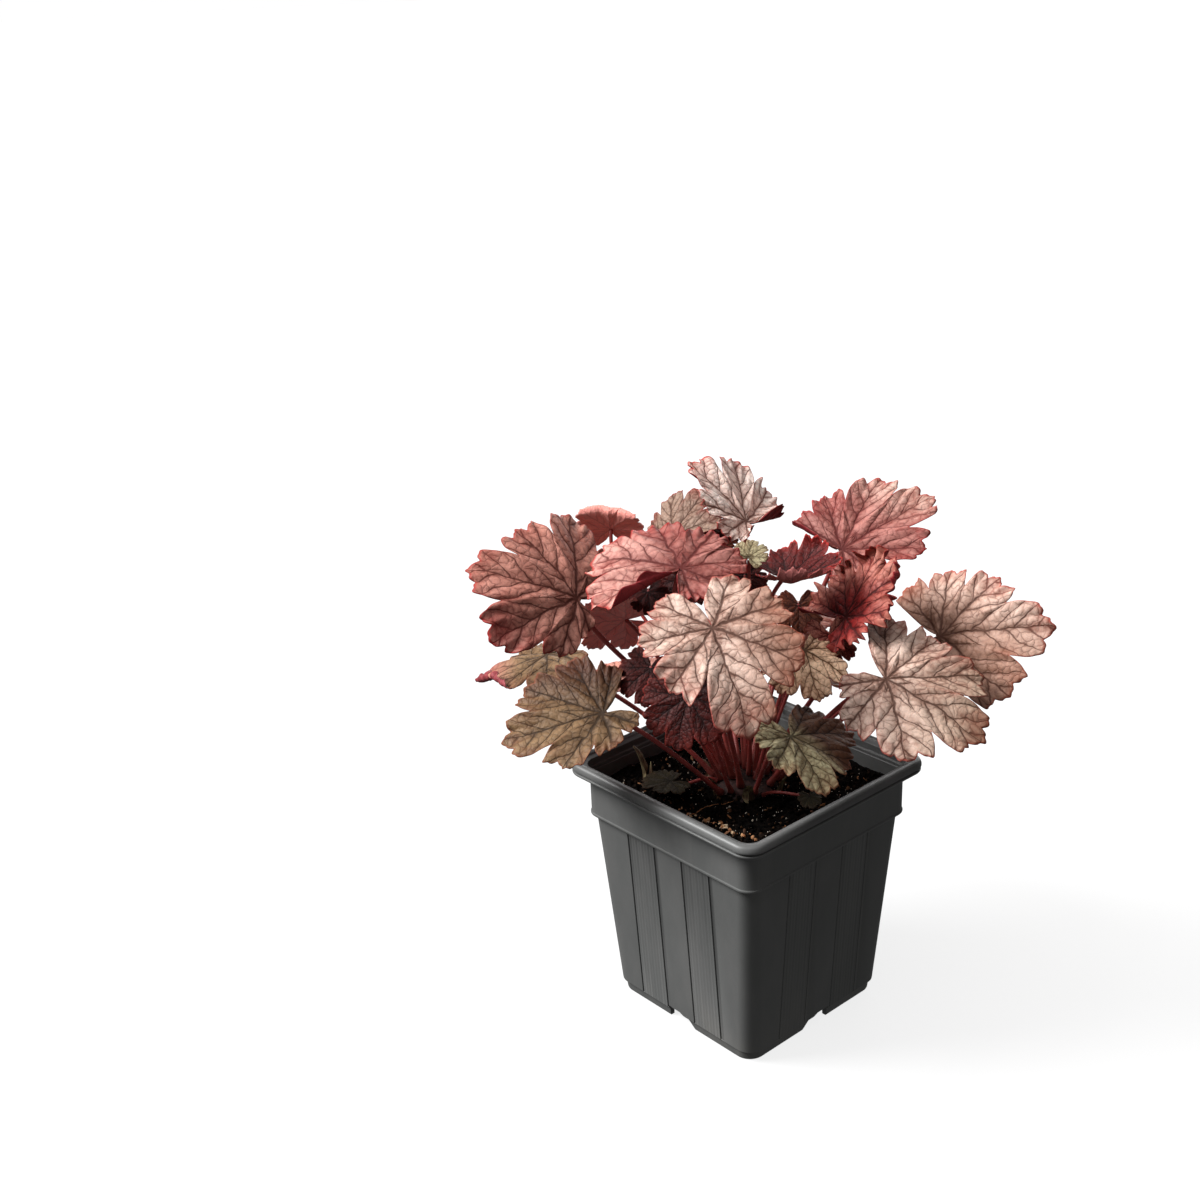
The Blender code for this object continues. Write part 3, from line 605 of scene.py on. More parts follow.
def place_blade(leaf, share, angle, depth, seed):
    """Points of the bent blade and its places on the flat leaf.

    The flat leaf is bent by arc along and across the middle lobe, then lifted: by PLEAT between the main
    veins and by two and three and a half waves, as in the CAD model, by PUFF between the side veins, and by a
    fine ruffle along the edge. Last, some edges roll up.
    """
    size = leaf.size * MM
    wide = np.where(angle > 0, leaf.spread[0], leaf.spread[1])
    turned = np.radians(angle * wide)
    forward, sink_forward = arc(share * size * np.cos(turned), leaf.bends[0], leaf.bends[1], size)
    side, sink_side = arc(share * size * np.sin(turned), leaf.bends[2], leaf.bends[3], size)
    off = angle / LOBE_STEP - np.round(angle / LOBE_STEP)
    pleat = PLEAT * size * share * (2 * np.abs(off)) ** 1.5
    phase = math.radians(leaf.wave[1])
    ripple = np.sin(np.radians(angle) * 2 + phase) + 0.6 * np.sin(np.radians(angle) * 3.5 - 2 * phase)
    u, v = vein_plane(share, angle, seed)
    lift = sink_forward + sink_side + pleat + leaf.wave[0] * MM * share**2 * ripple
    lift = lift + puff(u, v, share, depth) * size + ruffle(leaf, angle, depth, phase) * size
    for curl in CURLS.get(leaf.name, ()):
        forward, side, lift = curl_up(forward, side, lift, angle, size, curl)
    along, left, above = (np.array(axis) for axis in blade_axes(leaf))
    spread = forward[..., None] * along + side[..., None] * left + lift[..., None] * above
    return np.array(leaf_foot(leaf)) + spread, np.stack([u, v], -1)


def puff(u, v, share, depth):
    """The skin puffs up between the veins: a step away from the main veins times one away from the side ones.

    Low hills are added. It fades in from the stalk and out towards the edge.
    """
    main, side_vein = vein_distances(u, v)
    cushion = (1 - np.exp(-((main / 0.045) ** 1.4))) * (1 - np.exp(-((side_vein / 0.032) ** 1.4)))
    lumps = hills(u + 5, v + 5, 0.055, 7) * 0.22
    return PUFF * (cushion + lumps) * np.clip(share * 3, 0, 1) * (1 - 0.6 * depth**6)


def ruffle(leaf, angle, depth, phase):
    """Waves along the edge that grow steeply with the depth, of two uneven lengths."""
    a = np.radians(angle)
    waves = 0.011 * depth**3 * np.sin(11 * a + 2 * phase) * np.sin(2 * a + phase)
    waves = waves + 0.010 * depth**6 * (np.sin(31 * a + phase) + np.sin(43 * a - phase))
    return waves * CRINKLE.get(leaf.name, 1.0)


def curl_up(forward, side, lift, angle, size, curl):
    """Rolls up what lies past a line of the leaf: distance past the line turns into an arc of the radius.

    Past the full turn the skin goes straight on.
    """
    direction, start, radius, turn, low, high = curl
    ahead, aside = math.cos(math.radians(direction)), math.sin(math.radians(direction))
    past = np.maximum(forward * ahead + side * aside - start * size, 0) * ((angle >= low) & (angle <= high))
    radius = radius * size
    bend = np.minimum(past / radius, math.radians(turn))
    straight = past - bend * radius
    drawn_in = past - radius * np.sin(bend) - straight * np.cos(bend)
    rise = radius * (1 - np.cos(bend)) + straight * np.sin(bend)
    return forward - drawn_in * ahead, side - drawn_in * aside, lift + rise


def tinted_and_shaded(leaf, share, angle):
    """The leaf's colours at each place; a smooth step blends in a second palette where it has one, which on
    leaf_03 is painted shade.
    """
    first = PALETTES[PALETTE_OF.get(leaf.name, leaf.colour)]
    name, direction, low, high = TINTS_AND_SHADE.get(leaf.name, NO_TINT)
    place = 1 - share if direction is None else share * np.cos(np.radians(angle - direction))
    step = np.clip((place - low) / (high - low), 0, 1)
    weight = (step * step * (3 - 2 * step))[:, None]
    colours = {}
    for part in Palette._fields:
        own, second = seen(*getattr(first, part)), seen(*getattr(PALETTES[name], part))
        colours[part] = np.array(own) * (1 - weight) + np.array(second) * weight
    return colours


def sheet_normals(points, foot, above):
    """Directions out of the upper side: the slope outwards crossed with the slope along the edge.

    Where the innermost rings are too small for that, it is the leaf's own upward direction.
    """
    inner = np.concatenate([np.broadcast_to(foot, (1, *points.shape[1:])), points[:-1]])
    outer = np.concatenate([points[1:], points[-1:]])
    around = np.roll(points, -1, axis=1) - np.roll(points, 1, axis=1)
    normal = unit(np.cross(outer - inner, around))
    near_stalk = np.arange(len(points))[:, None] < 3
    turned_over = near_stalk & (normal @ above < -0.2)
    return np.where(turned_over[..., None], above, normal)


def there_and_back(rows):
    return np.concatenate([rows, rows[::-1]])


def blade_shell(leaf, seed):
    """A closed blade: rings of points on the upper side out to the edge, and back on the underside.

    A ring lies at a share of the edge's distance. Both sides lie SHEET_HALF from the bent sheet.
    """
    rings, columns = next(grid for size, *grid in BLADE_GRIDS if leaf.size > size)
    angle = edge_angles(leaf, columns, seed)[None, :]
    edge = fine_edge(angle, leaf, seed)
    depth = (np.arange(1, rings + 1) / rings)[:, None] ** 0.85
    angle, depth = np.broadcast_arrays(angle, depth)
    share = depth * edge
    points, plane = place_blade(leaf, share, angle, depth, seed)
    foot, above = np.array(leaf_foot(leaf)), np.array(blade_axes(leaf)[2])
    normal = sheet_normals(points, foot, above)
    half = (SHEET_HALF * (1 - 0.55 * depth**10))[..., None]
    rows = np.concatenate([points + normal * half, (points - normal * half)[::-1]])
    ends = foot + above * SHEET_HALF, foot - above * SHEET_HALF
    points = np.clip(closed_points(rows, *ends), *CAD_BOX)
    under = np.concatenate([np.zeros_like(depth), np.ones_like(depth)])
    layers = {
        "leaf_plane": closed_points(there_and_back(plane), [0, 0], [0, 0]),
        "edge_share": closed_values(there_and_back(depth), 0, 0),
        "underside": closed_values(under, 0, 1),
        "leaf_shift": np.full(len(points), seed * 0.37),
    }
    share, angle = (closed_values(there_and_back(rows), 0, 0) for rows in (share, angle))
    layers.update(tinted_and_shaded(leaf, share, angle))
    return Shell(points, grid_faces(2 * rings, columns), layers, 0)


# Stalks


def crown_point(bearing, radius):
    """A point of the crown's upper side, and the direction straight out of it."""
    share = radius / CROWN_RADIUS
    rise = math.sqrt(1 - share**2)
    bearing = math.radians(bearing)
    point = polar(bearing, radius, CROWN_CENTRE + CROWN_HALF_HEIGHT * rise)
    outward = polar(bearing, share / CROWN_RADIUS, rise / CROWN_HALF_HEIGHT)
    return point, outward.normalized()


def stalk_radius(leaf):
    return STALK_RADIUS * min(1.0, 0.55 + 0.011 * leaf.size)


def stalk_route(leaf, count):
    """Points of the stalk: the CAD model's cubic curve from the crown to the blade."""
    base, outward = crown_point(leaf.root[0], leaf.root[1] * MM)
    start = base + outward * CLEAR
    along, _, above = blade_axes(leaf)
    arrival = (above * 0.75 + along * 0.65).normalized()
    slant = arrival.dot(above)
    radius = stalk_radius(leaf)
    short = BLADE_THICKNESS / 2 + CLEAR + radius * math.sqrt(1 - slant**2)
    end = leaf_foot(leaf) - arrival * (0.0 if leaf.colour in ONE_PIECE else short / slant)
    span = (end - start).length
    lean = (outward + Vector((end.x - start.x, end.y - start.y, 0)) / span * 0.5).normalized()
    first = start + outward * 0.12 * span + lean * 0.22 * span
    second = end - arrival * 0.3 * span
    t = np.linspace(0, 1, count)[:, None]
    start, first, second, end = (np.array(point) for point in (start, first, second, end))
    return start * (1 - t) ** 3 + first * 3 * (1 - t) ** 2 * t + second * 3 * (1 - t) * t**2 + end * t**3


def frames_along(route, across):
    """Unit vectors along a route, and two across it; the first of them is square to the direction given."""
    along = unit(np.gradient(route, axis=0))
    side = unit(np.cross(along, across))
    return along, side, np.cross(along, side)


def tube(route, radius, columns, across=(0.31, 0.22, 0.05)):
    """Rings round a route. radius has one value per point of the route, or one per point and column."""
    _, side, other = frames_along(route, across)
    turn = -np.arange(columns) * 2 * np.pi / columns
    outward = side[:, None] * np.cos(turn)[:, None] + other[:, None] * np.sin(turn)[:, None]
    radius = radius[:, None] if radius.ndim == 1 else radius
    return route[:, None] + outward * radius[..., None], outward


def stalk_shells(leaf, seed):
    """A stalk with a broad sheath at its foot, shallow furrows, and hairs."""
    count, columns = STALK_GRID
    route = stalk_route(leaf, count)
    t = np.linspace(0, 1, count)
    turn = np.arange(columns) * 2 * np.pi / columns
    radius = stalk_radius(leaf) * (0.92 + 0.75 * np.exp(-t / 0.05) + 0.12 * np.exp(-(1 - t) / 0.04))
    furrows = 1 + 0.05 * np.cos(5 * turn) - 0.06 * (np.cos(turn) > 0.9)
    rows, outward = tube(route, radius[:, None] * furrows, columns)
    along = unit(np.gradient(route, axis=0))
    tips = route[0] - along[0] * radius[0] * 0.4, route[-1] + along[-1] * radius[-1] * 0.25
    points = closed_points(rows, *tips)
    length = np.broadcast_to(t[:, None], (count, columns))
    layers = {"stalk_share": closed_values(length, 0, 1)}
    stalk = Shell(points, grid_faces(count, columns), layers, 0)
    return [stalk, hair_shell(rows, outward, along, leaf, seed)]


def hair_shell(rows, outward, along, leaf, seed):
    """Fine hairs: each a three-sided spike of four points that stands on the stalk and leans upwards."""
    pick = np.random.default_rng(seed)
    count = int(HAIRS_PER_SIZE * leaf.size)
    row = pick.integers(2, len(rows) - 1, count)
    column = pick.integers(0, rows.shape[1], count)
    blend = pick.uniform(0, 1, count)[:, None]
    foot = rows[row - 1, column] * (1 - blend) + rows[row, column] * blend
    lean = unit(outward[row, column] + along[row] * pick.normal(0.15, 0.3, count)[:, None])
    level = unit(np.cross(lean, pick.normal(size=(count, 3))))
    other = np.cross(lean, level)
    length = pick.uniform(*HAIR_LENGTHS, count)[:, None] * MM
    sunk = foot - lean * 0.1 * MM
    ring = [sunk + (level * math.cos(a) + other * math.sin(a)) * HAIR_HALF_WIDTH for a in (0.0, 2.1, 4.2)]
    points = np.stack([*ring, foot + lean * length], 1).reshape(-1, 3)
    faces = np.array([(0, 1, 3), (1, 2, 3), (2, 0, 3), (0, 2, 1)])
    faces = (faces[None] + 4 * np.arange(count)[:, None, None]).reshape(-1, 3)
    return Shell(points, [faces], {"stalk_share": np.full(len(points), 0.5)}, 1)


# Pot


def ring_columns(with_strips):
    """One column per point of a square ring.

    It holds the quarter, whether the point is on a side, its place along the side, the strips' depth there,
    and the corner's angle.
    """
    sides = strip_points() if with_strips else [(along * MM, 0.0) for along in range(-32, 33, 4)]
    bend = np.radians(np.linspace(0, 90, CORNER_ANGLES))
    table = []
    for quarter in range(4):
        table += [(quarter, 1, along, depth, 0.0) for along, depth in sides]
        table += [(quarter, 0, 0.0, 0.0, angle) for angle in bend]
    return np.array(table).T


def strip_points():
    """Across one side of the pot: straight lines between the corners of grooves, reeds and shoulders.

    A groove is steep on its left and slopes out on its right. Each reed is a tooth of its own depth.
    """
    points = []
    width = STRIP_OUTER - STRIP_INNER
    pitch = (width - GROOVE_WIDTH) / len(REED_DEPTHS)
    groove = [(0, 0), (0.12 * MM, GROOVE_DEPTH), (0.42 * MM, GROOVE_DEPTH), (0.70 * MM, SHOULDER_DEPTH)]
    shoulder = [(SHOULDER_WIDTH - 0.3 * MM, SHOULDER_DEPTH), (SHOULDER_WIDTH, 0)]
    for left in (-STRIP_OUTER, STRIP_INNER):
        points += [(left + across, depth) for across, depth in groove]
        for count, depth in enumerate(REED_DEPTHS):
            start = left + GROOVE_WIDTH + count * pitch
            tooth = [(0, 0.04 * MM), (0.30 * pitch, depth), (0.62 * pitch, depth), (0.80 * pitch, 0.04 * MM)]
            points += [(start + across, low) for across, low in tooth]
        points += [(left + width + across, depth) for across, depth in groove + shoulder]
    return points


def square_rings(half, corner, height, columns, strips):
    """Rows of points on squares with round corners.

    There is one row per half width, corner radius, height and share of the strips' depth.
    """
    quarter, on_side, along, depth, angle = columns
    half, corner, height, strips = (np.asarray(a, float)[:, None] for a in (half, corner, height, strips))
    centre = half - corner
    x = np.where(on_side == 1, half - depth * strips, centre + corner * np.cos(angle))
    y = np.where(on_side == 1, np.clip(along, -centre, centre), centre + corner * np.sin(angle))
    turn = np.radians(90 * quarter)
    spun = x * np.cos(turn) - y * np.sin(turn), x * np.sin(turn) + y * np.cos(turn)
    return np.stack([*spun, np.broadcast_to(height, x.shape)], -1)


def rounded(profile, steps=4):
    """A profile of (half width, height, corner radius, strip share, round) with its inner corners rounded.

    The arc is a quadratic curve between the points at the round's distance on both sides of the corner.
    """
    rows = [profile[0][:4]]
    for before, here, after in zip(profile, profile[1:], profile[2:]):
        a, b, c = (np.array(p[:4], float) for p in (before, here, after))
        reach = here[4]
        if reach == 0:
            rows.append(tuple(b))
            continue
        start = b + (a - b) * min(0.45, reach / max(np.hypot(*(a - b)[:2]), 1e-9))
        end = b + (c - b) * min(0.45, reach / max(np.hypot(*(c - b)[:2]), 1e-9))
        for t in np.linspace(0, 1, steps):
            rows.append(tuple(start * (1 - t) ** 2 + b * 2 * t * (1 - t) + end * t**2))
    rows.append(profile[-1][:4])
    return np.array(rows).T


def pot_profile():
    """The pot's section from the middle of its inner floor, up the wall, over the rim and down below it.

    Each row is half width, height, corner radius, share of the strips, and how far the corner is rounded. In
    the table the first two are steps outwards and upwards from a named corner, in millimetres.
    """
    inner = BODY_BOTTOM_HALF - WALL - 0.5 * MM
    wall = COLLAR_HALF - WALL
    body_top = BODY_TOP_HALF - 0.1 * MM
    table = [
        (0, FLOOR_TOP, [(1, 0, 0.2, 0, 0)]),
        (inner, FLOOR_TOP, [(0, 0, 6, 0, 1)]),
        (BODY_TOP_HALF - WALL, COLLAR_BOTTOM - WALL, [(0, 0, 6, 0, 0.4)]),
        (wall, COLLAR_BOTTOM + WALL, [(0, 0, 6, 0, 0.4)]),
        (wall, RIM_UNDERSIDE, [(0.3, -1.4, 6, 0, 0.1), (0.8, -1.2, 6, 0, 0.1), (0.8, 0.2, 6, 0, 0.1)]),
        (MOUTH_HALF, RIM_UNDERSIDE, [(0.6, 0.6, 6, 0, 0.1)]),
        (MOUTH_HALF, POT_HEIGHT, [(0.6, -1.9, 6, 0, 0.2)]),
        (RIM_HALF, POT_HEIGHT, [(-3.9, -1.2, 7, 0, 0.1), (-3.6, -0.5, 7.4, 0, 0.3), (-2.2, 0, 8, 0, 0.7),
                                (-0.7, -0.7, 8.6, 0, 0.9), (0, -2.3, 9, 0, 0.8)]),
        (RIM_HALF, RIM_UNDERSIDE, [(0, 2.2, 9, 0, 0.3), (-0.9, 1.8, 9, 0, 0.1), (-0.9, 1.4, 9, 0, 0.1),
                                   (-0.15, 1.1, 9, 0, 0.15), (-0.15, 0.4, 9, 0, 0.3),
                                   (-0.5, 0, 8.8, 0, 0.3)]),
        (COLLAR_HALF, RIM_UNDERSIDE, [(0.2, 0, 7.8, 0, 0.3), (-0.05, -3.6, 7.6, 0, 0.1),
                                      (0.35, -4.0, 7.6, 0, 0.2), (0.35, -4.6, 7.6, 0, 0.2),
                                      (0.1, -4.9, 7.6, 0, 0.1)]),
        (COLLAR_HALF, COLLAR_BOTTOM, [(0, 1.9, 7.4, 0, 0.1), (0.3, 1.4, 7.4, 0, 0.2), (0.3, 0.6, 7.4, 0, 0.3),
                                      (-0.4, 0, 7.4, 0, 0.2)]),
        (body_top, COLLAR_BOTTOM, [(0, 0, 7.4, 0, 0.2), (-0.05, -0.6, 7.4, 0, 0), (-0.07, -0.9, 7.4, 1, 0)]),
        (BODY_BOTTOM_HALF, BASE_STEP, [(0.1, 1.2, 7.4, 1, 0), (0.07, 0.9, 7.4, 0, 0.3)]),
        (BASE_HALF, BASE_STEP, [(0.4, 0, 7.4, 0, 0.5)]),
        (BASE_HALF, 0, [(0, 0, 7.4, 0, 0.5), (-4, 0, 6, 0, 0)]),
        (0, 0, [(1, 0, 0.2, 0, 0)]),
    ]
    return [
        (half + out * MM, height + up * MM, corner * MM, strips, rounding * MM)
        for half, height, steps in table for out, up, corner, strips, rounding in steps
    ]


def add_cutter(name, bm):
    mesh = bpy.data.meshes.new(name)
    bm.to_mesh(mesh)
    bm.free()
    return put_in_scene(name, mesh)


def box(width, depth, height, centre):
    bm = bmesh.new()
    bmesh.ops.create_cube(bm, size=1.0)
    bmesh.ops.scale(bm, vec=(width, depth, height), verts=bm.verts)
    bmesh.ops.translate(bm, vec=centre, verts=bm.verts)
    return bm


def cylinder(radius, height, centre):
    bm = bmesh.new()
    bmesh.ops.create_cone(bm, cap_ends=True, segments=40, radius1=radius, radius2=radius, depth=height)
    bmesh.ops.translate(bm, vec=centre, verts=bm.verts)
    return bm


def notch(turn):
    """The opening in the middle of a side's skirt: one end upright, the other a slope."""
    half = NOTCH_WIDTH / 2
    outline = [(-half, -MM), (half, -MM), (half, 0), (0.45 * half, 0.7 * RECESS_HEIGHT),
               (-0.1 * half, RECESS_HEIGHT), (-half, RECESS_HEIGHT)]
    bm = bmesh.new()
    outer = [bm.verts.new((x, -BASE_HALF - 4 * MM, z)) for x, z in outline]
    inner = [bm.verts.new((x, -BASE_HALF + SKIRT + MM, z)) for x, z in outline]
    bm.faces.new(outer)
    bm.faces.new(reversed(inner))
    for i in range(len(outline)):
        j = (i + 1) % len(outline)
        bm.faces.new((outer[j], outer[i], inner[i], inner[j]))
    mirror = Matrix.Scale(-1 if turn % 2 else 1, 4, (1, 0, 0))
    bmesh.ops.transform(bm, matrix=Matrix.Rotation(math.radians(90 * turn), 4, "Z") @ mirror, verts=bm.verts)
    bmesh.ops.recalc_face_normals(bm, faces=bm.faces)
    return bm


def cut(piece, cutters):
    """Cuts solids out of a piece and keeps the result as its mesh."""
    for cutter in cutters:
        modifier = piece.modifiers.new(cutter.name, "BOOLEAN")
        modifier.operation = "DIFFERENCE"
        modifier.solver = "EXACT"
        modifier.object = cutter
    evaluated = piece.evaluated_get(bpy.context.evaluated_depsgraph_get())
    mesh = bpy.data.meshes.new_from_object(evaluated)
    piece.modifiers.clear()
    piece.data = mesh
    for cutter in cutters:
        bpy.data.objects.remove(cutter, do_unlink=True)


def make_pot(material):
    half, height, corner, strips = rounded(pot_profile())
    columns = ring_columns(True)
    rows = square_rings(half, corner, height, columns, strips)
    points = closed_points(rows, (0, 0, FLOOR_TOP), (0, 0, 0))
    shell = Shell(points, grid_faces(len(half), columns.shape[1]), {}, 0)
    pot = make_piece("moulded_pot", [shell], [material])
    recess = 2 * (BASE_HALF - SKIRT)
    cross = recess - 2 * FOOT
    middle = (0, 0, RECESS_HEIGHT / 2 - MM)
    cutters = [
        add_cutter("recess_x", box(recess, cross, RECESS_HEIGHT + 2 * MM, middle)),
        add_cutter("recess_y", box(cross - 0.2 * MM, recess, RECESS_HEIGHT + 1.98 * MM, middle)),
    ]
    cutters += [add_cutter(f"notch_{turn}", notch(turn)) for turn in range(4)]
    for x, y in ((0, 0), (1, 1), (-1, 1), (-1, -1), (1, -1)):
        place = (x * DRAIN_OFFSET, y * DRAIN_OFFSET, FLOOR_TOP)
        cutters.append(add_cutter(f"drain_{x}_{y}", cylinder(DRAIN_RADIUS, 2 * FLOOR_TOP, place)))
    cut(pot, cutters)
    pot.data.set_sharp_from_angle(angle=math.radians(35))
    return stand_in(pot, "pot_plastic", "pot")


# Soil and crown


def soil_height(x, y):
    """Height of the soil: the CAD model's long waves with lumps of three sizes on them."""
    waves = np.sin(95 * x + 1.3) * np.cos(80 * y - 0.4) + 0.6 * np.sin(170 * x - 140 * y)
    lumps = 0.9 * hills(x, y, 5 * MM, 1) + 0.7 * hills(x, y, 2.2 * MM, 2) + 0.4 * hills(x, y, 1 * MM, 3)
    return SOIL_EDGE + SOIL_BUMP * waves + 0.6 * MM * lumps


def dense_columns():
    """The columns of a plain square ring with three more between each two: each 1 mm or 2.25 degrees on."""
    columns = ring_columns(False)
    dense = np.repeat(columns, 4, axis=1)
    part = np.tile(np.arange(4), columns.shape[1])
    dense[2] += part * MM * dense[1]
    dense[4] += part * math.radians(2.25) * (1 - dense[1]) * (dense[4] < 1.5)
    return dense


def make_soil(material):
    """The soil as one closed solid: its lumpy top in square rings, the wall's inner shape, and the floor."""
    wall = COLLAR_HALF - WALL - CLEAR
    share = np.linspace(0.01, 1, SOIL_RINGS)
    level = np.zeros(SOIL_RINGS)
    columns = dense_columns()
    top = square_rings(wall * share, INNER_CORNER * share, level, columns, level)
    top[..., 2] = soil_height(top[..., 0], top[..., 1])
    inner = BODY_BOTTOM_HALF - WALL - 0.5 * MM - CLEAR
    low = [(wall, COLLAR_BOTTOM + WALL + CLEAR), (BODY_TOP_HALF - WALL - CLEAR, COLLAR_BOTTOM - WALL),
           (inner, FLOOR_TOP + CLEAR), (inner * 0.02, FLOOR_TOP + CLEAR)]
    half, height = np.array(low).T
    sides = square_rings(half, INNER_CORNER * half / wall, height, columns, np.zeros(len(low)))
    rows = np.concatenate([top, sides])
    points = closed_points(rows, (0, 0, soil_height(np.zeros(1), np.zeros(1))[0]), (0, 0, FLOOR_TOP + CLEAR))
    shell = Shell(points, grid_faces(len(rows), rows.shape[1]), {}, 0)
    return stand_in(make_piece("soil_bed", [shell], [material]), "potting_mix", "soil")


def rock():
    """The twelve points and twenty faces of an icosahedron."""
    long = (1 + math.sqrt(5)) / 2
    points = [(-1, long, 0), (1, long, 0), (-1, -long, 0), (1, -long, 0), (0, -1, long), (0, 1, long),
              (0, -1, -long), (0, 1, -long), (long, 0, -1), (long, 0, 1), (-long, 0, -1), (-long, 0, 1)]
    faces = [(0, 11, 5), (0, 5, 1), (0, 1, 7), (0, 7, 10), (0, 10, 11), (1, 5, 9), (5, 11, 4), (11, 10, 2),
             (10, 7, 6), (7, 1, 8), (3, 9, 4), (3, 4, 2), (3, 2, 6), (3, 6, 8), (3, 8, 9), (4, 9, 5),
             (2, 4, 11), (6, 2, 10), (8, 6, 7), (9, 8, 1)]
    return unit(np.array(points, float)), np.array(faces)


def random_turns(pick, count):
    """Random rotations, from random quaternions."""
    w, x, y, z = unit(pick.normal(size=(count, 4))).T
    rows = [1 - 2 * (y * y + z * z), 2 * (x * y - z * w), 2 * (x * z + y * w),
            2 * (x * y + z * w), 1 - 2 * (x * x + z * z), 2 * (y * z - x * w),
            2 * (x * z - y * w), 2 * (y * z + x * w), 1 - 2 * (x * x + y * y)]
    return np.stack(rows, -1).reshape(count, 3, 3)


def scatter(name, centres, sizes, stretch, material, seed):
    """Many small lumps in one piece: an uneven icosahedron each, stretched, turned at random and set down."""
    pick = np.random.default_rng(seed)
    base, faces = rock()
    count = len(centres)
    corners = len(base)
    uneven = base[None] * pick.uniform(0.7, 1.15, (count, corners, 1))
    shapes = uneven * np.array(stretch) * sizes[:, None, None]
    points = np.einsum("nij,nkj->nki", random_turns(pick, count), shapes) + centres[:, None]
    faces = (faces[None] + corners * np.arange(count)[:, None, None]).reshape(-1, 3)
    shade = np.repeat(pick.uniform(0, 1, count), corners)
    shell = Shell(points.reshape(-1, 3), [faces], {"shade": shade}, 0)
    stand_in(make_piece(name, [shell], [material], smooth=False), "potting_mix")


def on_soil(pick, count, sizes, sunk):
    """Random places on the soil outside the crown."""
    reach = COLLAR_HALF - WALL - 1.6 * MM
    x, y = pick.uniform(-reach, reach, (2, count))
    return np.stack([x, y, soil_height(x, y) + sizes * (0.5 - sunk)], -1)


# Loose bits on the soil: name, count, smallest size and how much larger the largest is in millimetres, the
# power that makes large ones rare, how far they are sunk, and their stretch, finish and seed
LOOSE_BITS = (
    ("soil_crumbs", 4000, 0.35, 1.0, 3, 0.2, (1.2, 1, 0.8), "crumb", 12),
    ("perlite_grains", 480, 0.20, 0.45, 3, -0.2, (1.1, 1, 0.9), "perlite", 13),
    ("bark_bits", 90, 0.5, 1.0, 2, 0.1, (1.9, 0.8, 0.4), "bark", 14),
)
TAN_GRAINS = 44


def make_crumbs(materials):
    """Bits all over the soil, and tan grains along the inside of the front corner's left wall."""
    pick = np.random.default_rng(11)
    for name, count, small, more, power, sunk, stretch, finish, seed in LOOSE_BITS:
        sizes = small * MM + more * MM * pick.uniform(0, 1, count) ** power
        scatter(name, on_soil(pick, count, sizes, sunk), sizes, stretch, materials[finish], seed)
    sizes = 0.5 * MM + 0.85 * MM * pick.uniform(0, 1, TAN_GRAINS) ** 2
    x = pick.uniform(-6, 38, TAN_GRAINS) * MM
    y = -36.4 * MM + 2.2 * MM * np.abs(pick.normal(size=TAN_GRAINS)).clip(0, 2.5)
    centres = np.stack([x, y, soil_height(x, y) + sizes * 0.5], -1)
    scatter("tan_grains", centres, sizes, (1.3, 0.9, 0.7), materials["tan_grain"], 15)


def make_crown(material):
    """The crown: the CAD model's flattened ball, drawn in by scales in rows that go round it."""
    rows, columns = CROWN_GRID
    drop = (np.arange(1, rows + 1) / (rows + 1) * np.pi)[:, None]
    turn = (np.arange(columns) * 2 * np.pi / columns)[None, :]
    row = drop * 9 / np.pi * 1.6
    scale = np.abs((turn * 7 / np.pi + 0.5 * np.floor(row)) % 1 - 0.5) + 0.5 * (row % 1)
    inset = 1 - 0.055 * scale - 0.02 * (1 + hills(turn * 3, drop * 5, 0.4, 5))
    x = CROWN_RADIUS * inset * np.sin(drop) * np.cos(turn)
    y = CROWN_RADIUS * inset * np.sin(drop) * np.sin(turn)
    z = CROWN_CENTRE + CROWN_HALF_HEIGHT * inset * np.cos(drop) * np.ones_like(turn)
    ends = (0, 0, CROWN_CENTRE + 0.95 * CROWN_HALF_HEIGHT), (0, 0, CROWN_CENTRE - 0.95 * CROWN_HALF_HEIGHT)
    points = closed_points(np.stack([x, y, z], -1), *ends)
    shell = Shell(points, grid_faces(rows, columns), {}, 0)
    return stand_in(make_piece("scaly_crown", [shell], [material]), "crown_bark", "crown")


ROOT_GRID = (60, 8)  # points along and round
ROOT_RADIUS = 0.26 * MM


def make_root(material):
    """A thin dry root that lies on the soil, along a bent line with a few waves."""
    count, columns = ROOT_GRID
    t = np.linspace(0, 1, count)
    bends = [0, 0.35, 0.65, 1]
    x = np.interp(t, bends, [0.3, 1.6, 3.2, 7.2]) * MM + 0.5 * MM * np.sin(9 * t)
    y = np.interp(t, bends, [-37.2, -29.5, -23.0, -15.5]) * MM
    route = np.stack([x, y, soil_height(x, y) + 0.45 * MM + 0.5 * MM * np.sin(3 * t) ** 2], -1)
    rows, _ = tube(route, ROOT_RADIUS * (1 - 0.5 * t), columns)
    points = closed_points(rows, route[0], route[-1])
    shell = Shell(points, grid_faces(count, columns), {"shade": np.full(len(points), 0.25)}, 0)
    stand_in(make_piece("dry_root", [shell], [material]), "crown_bark")


PAPER_GRID = (18, 28)  # points along and round
PAPER_HALF_THICKNESS = 0.14 * MM


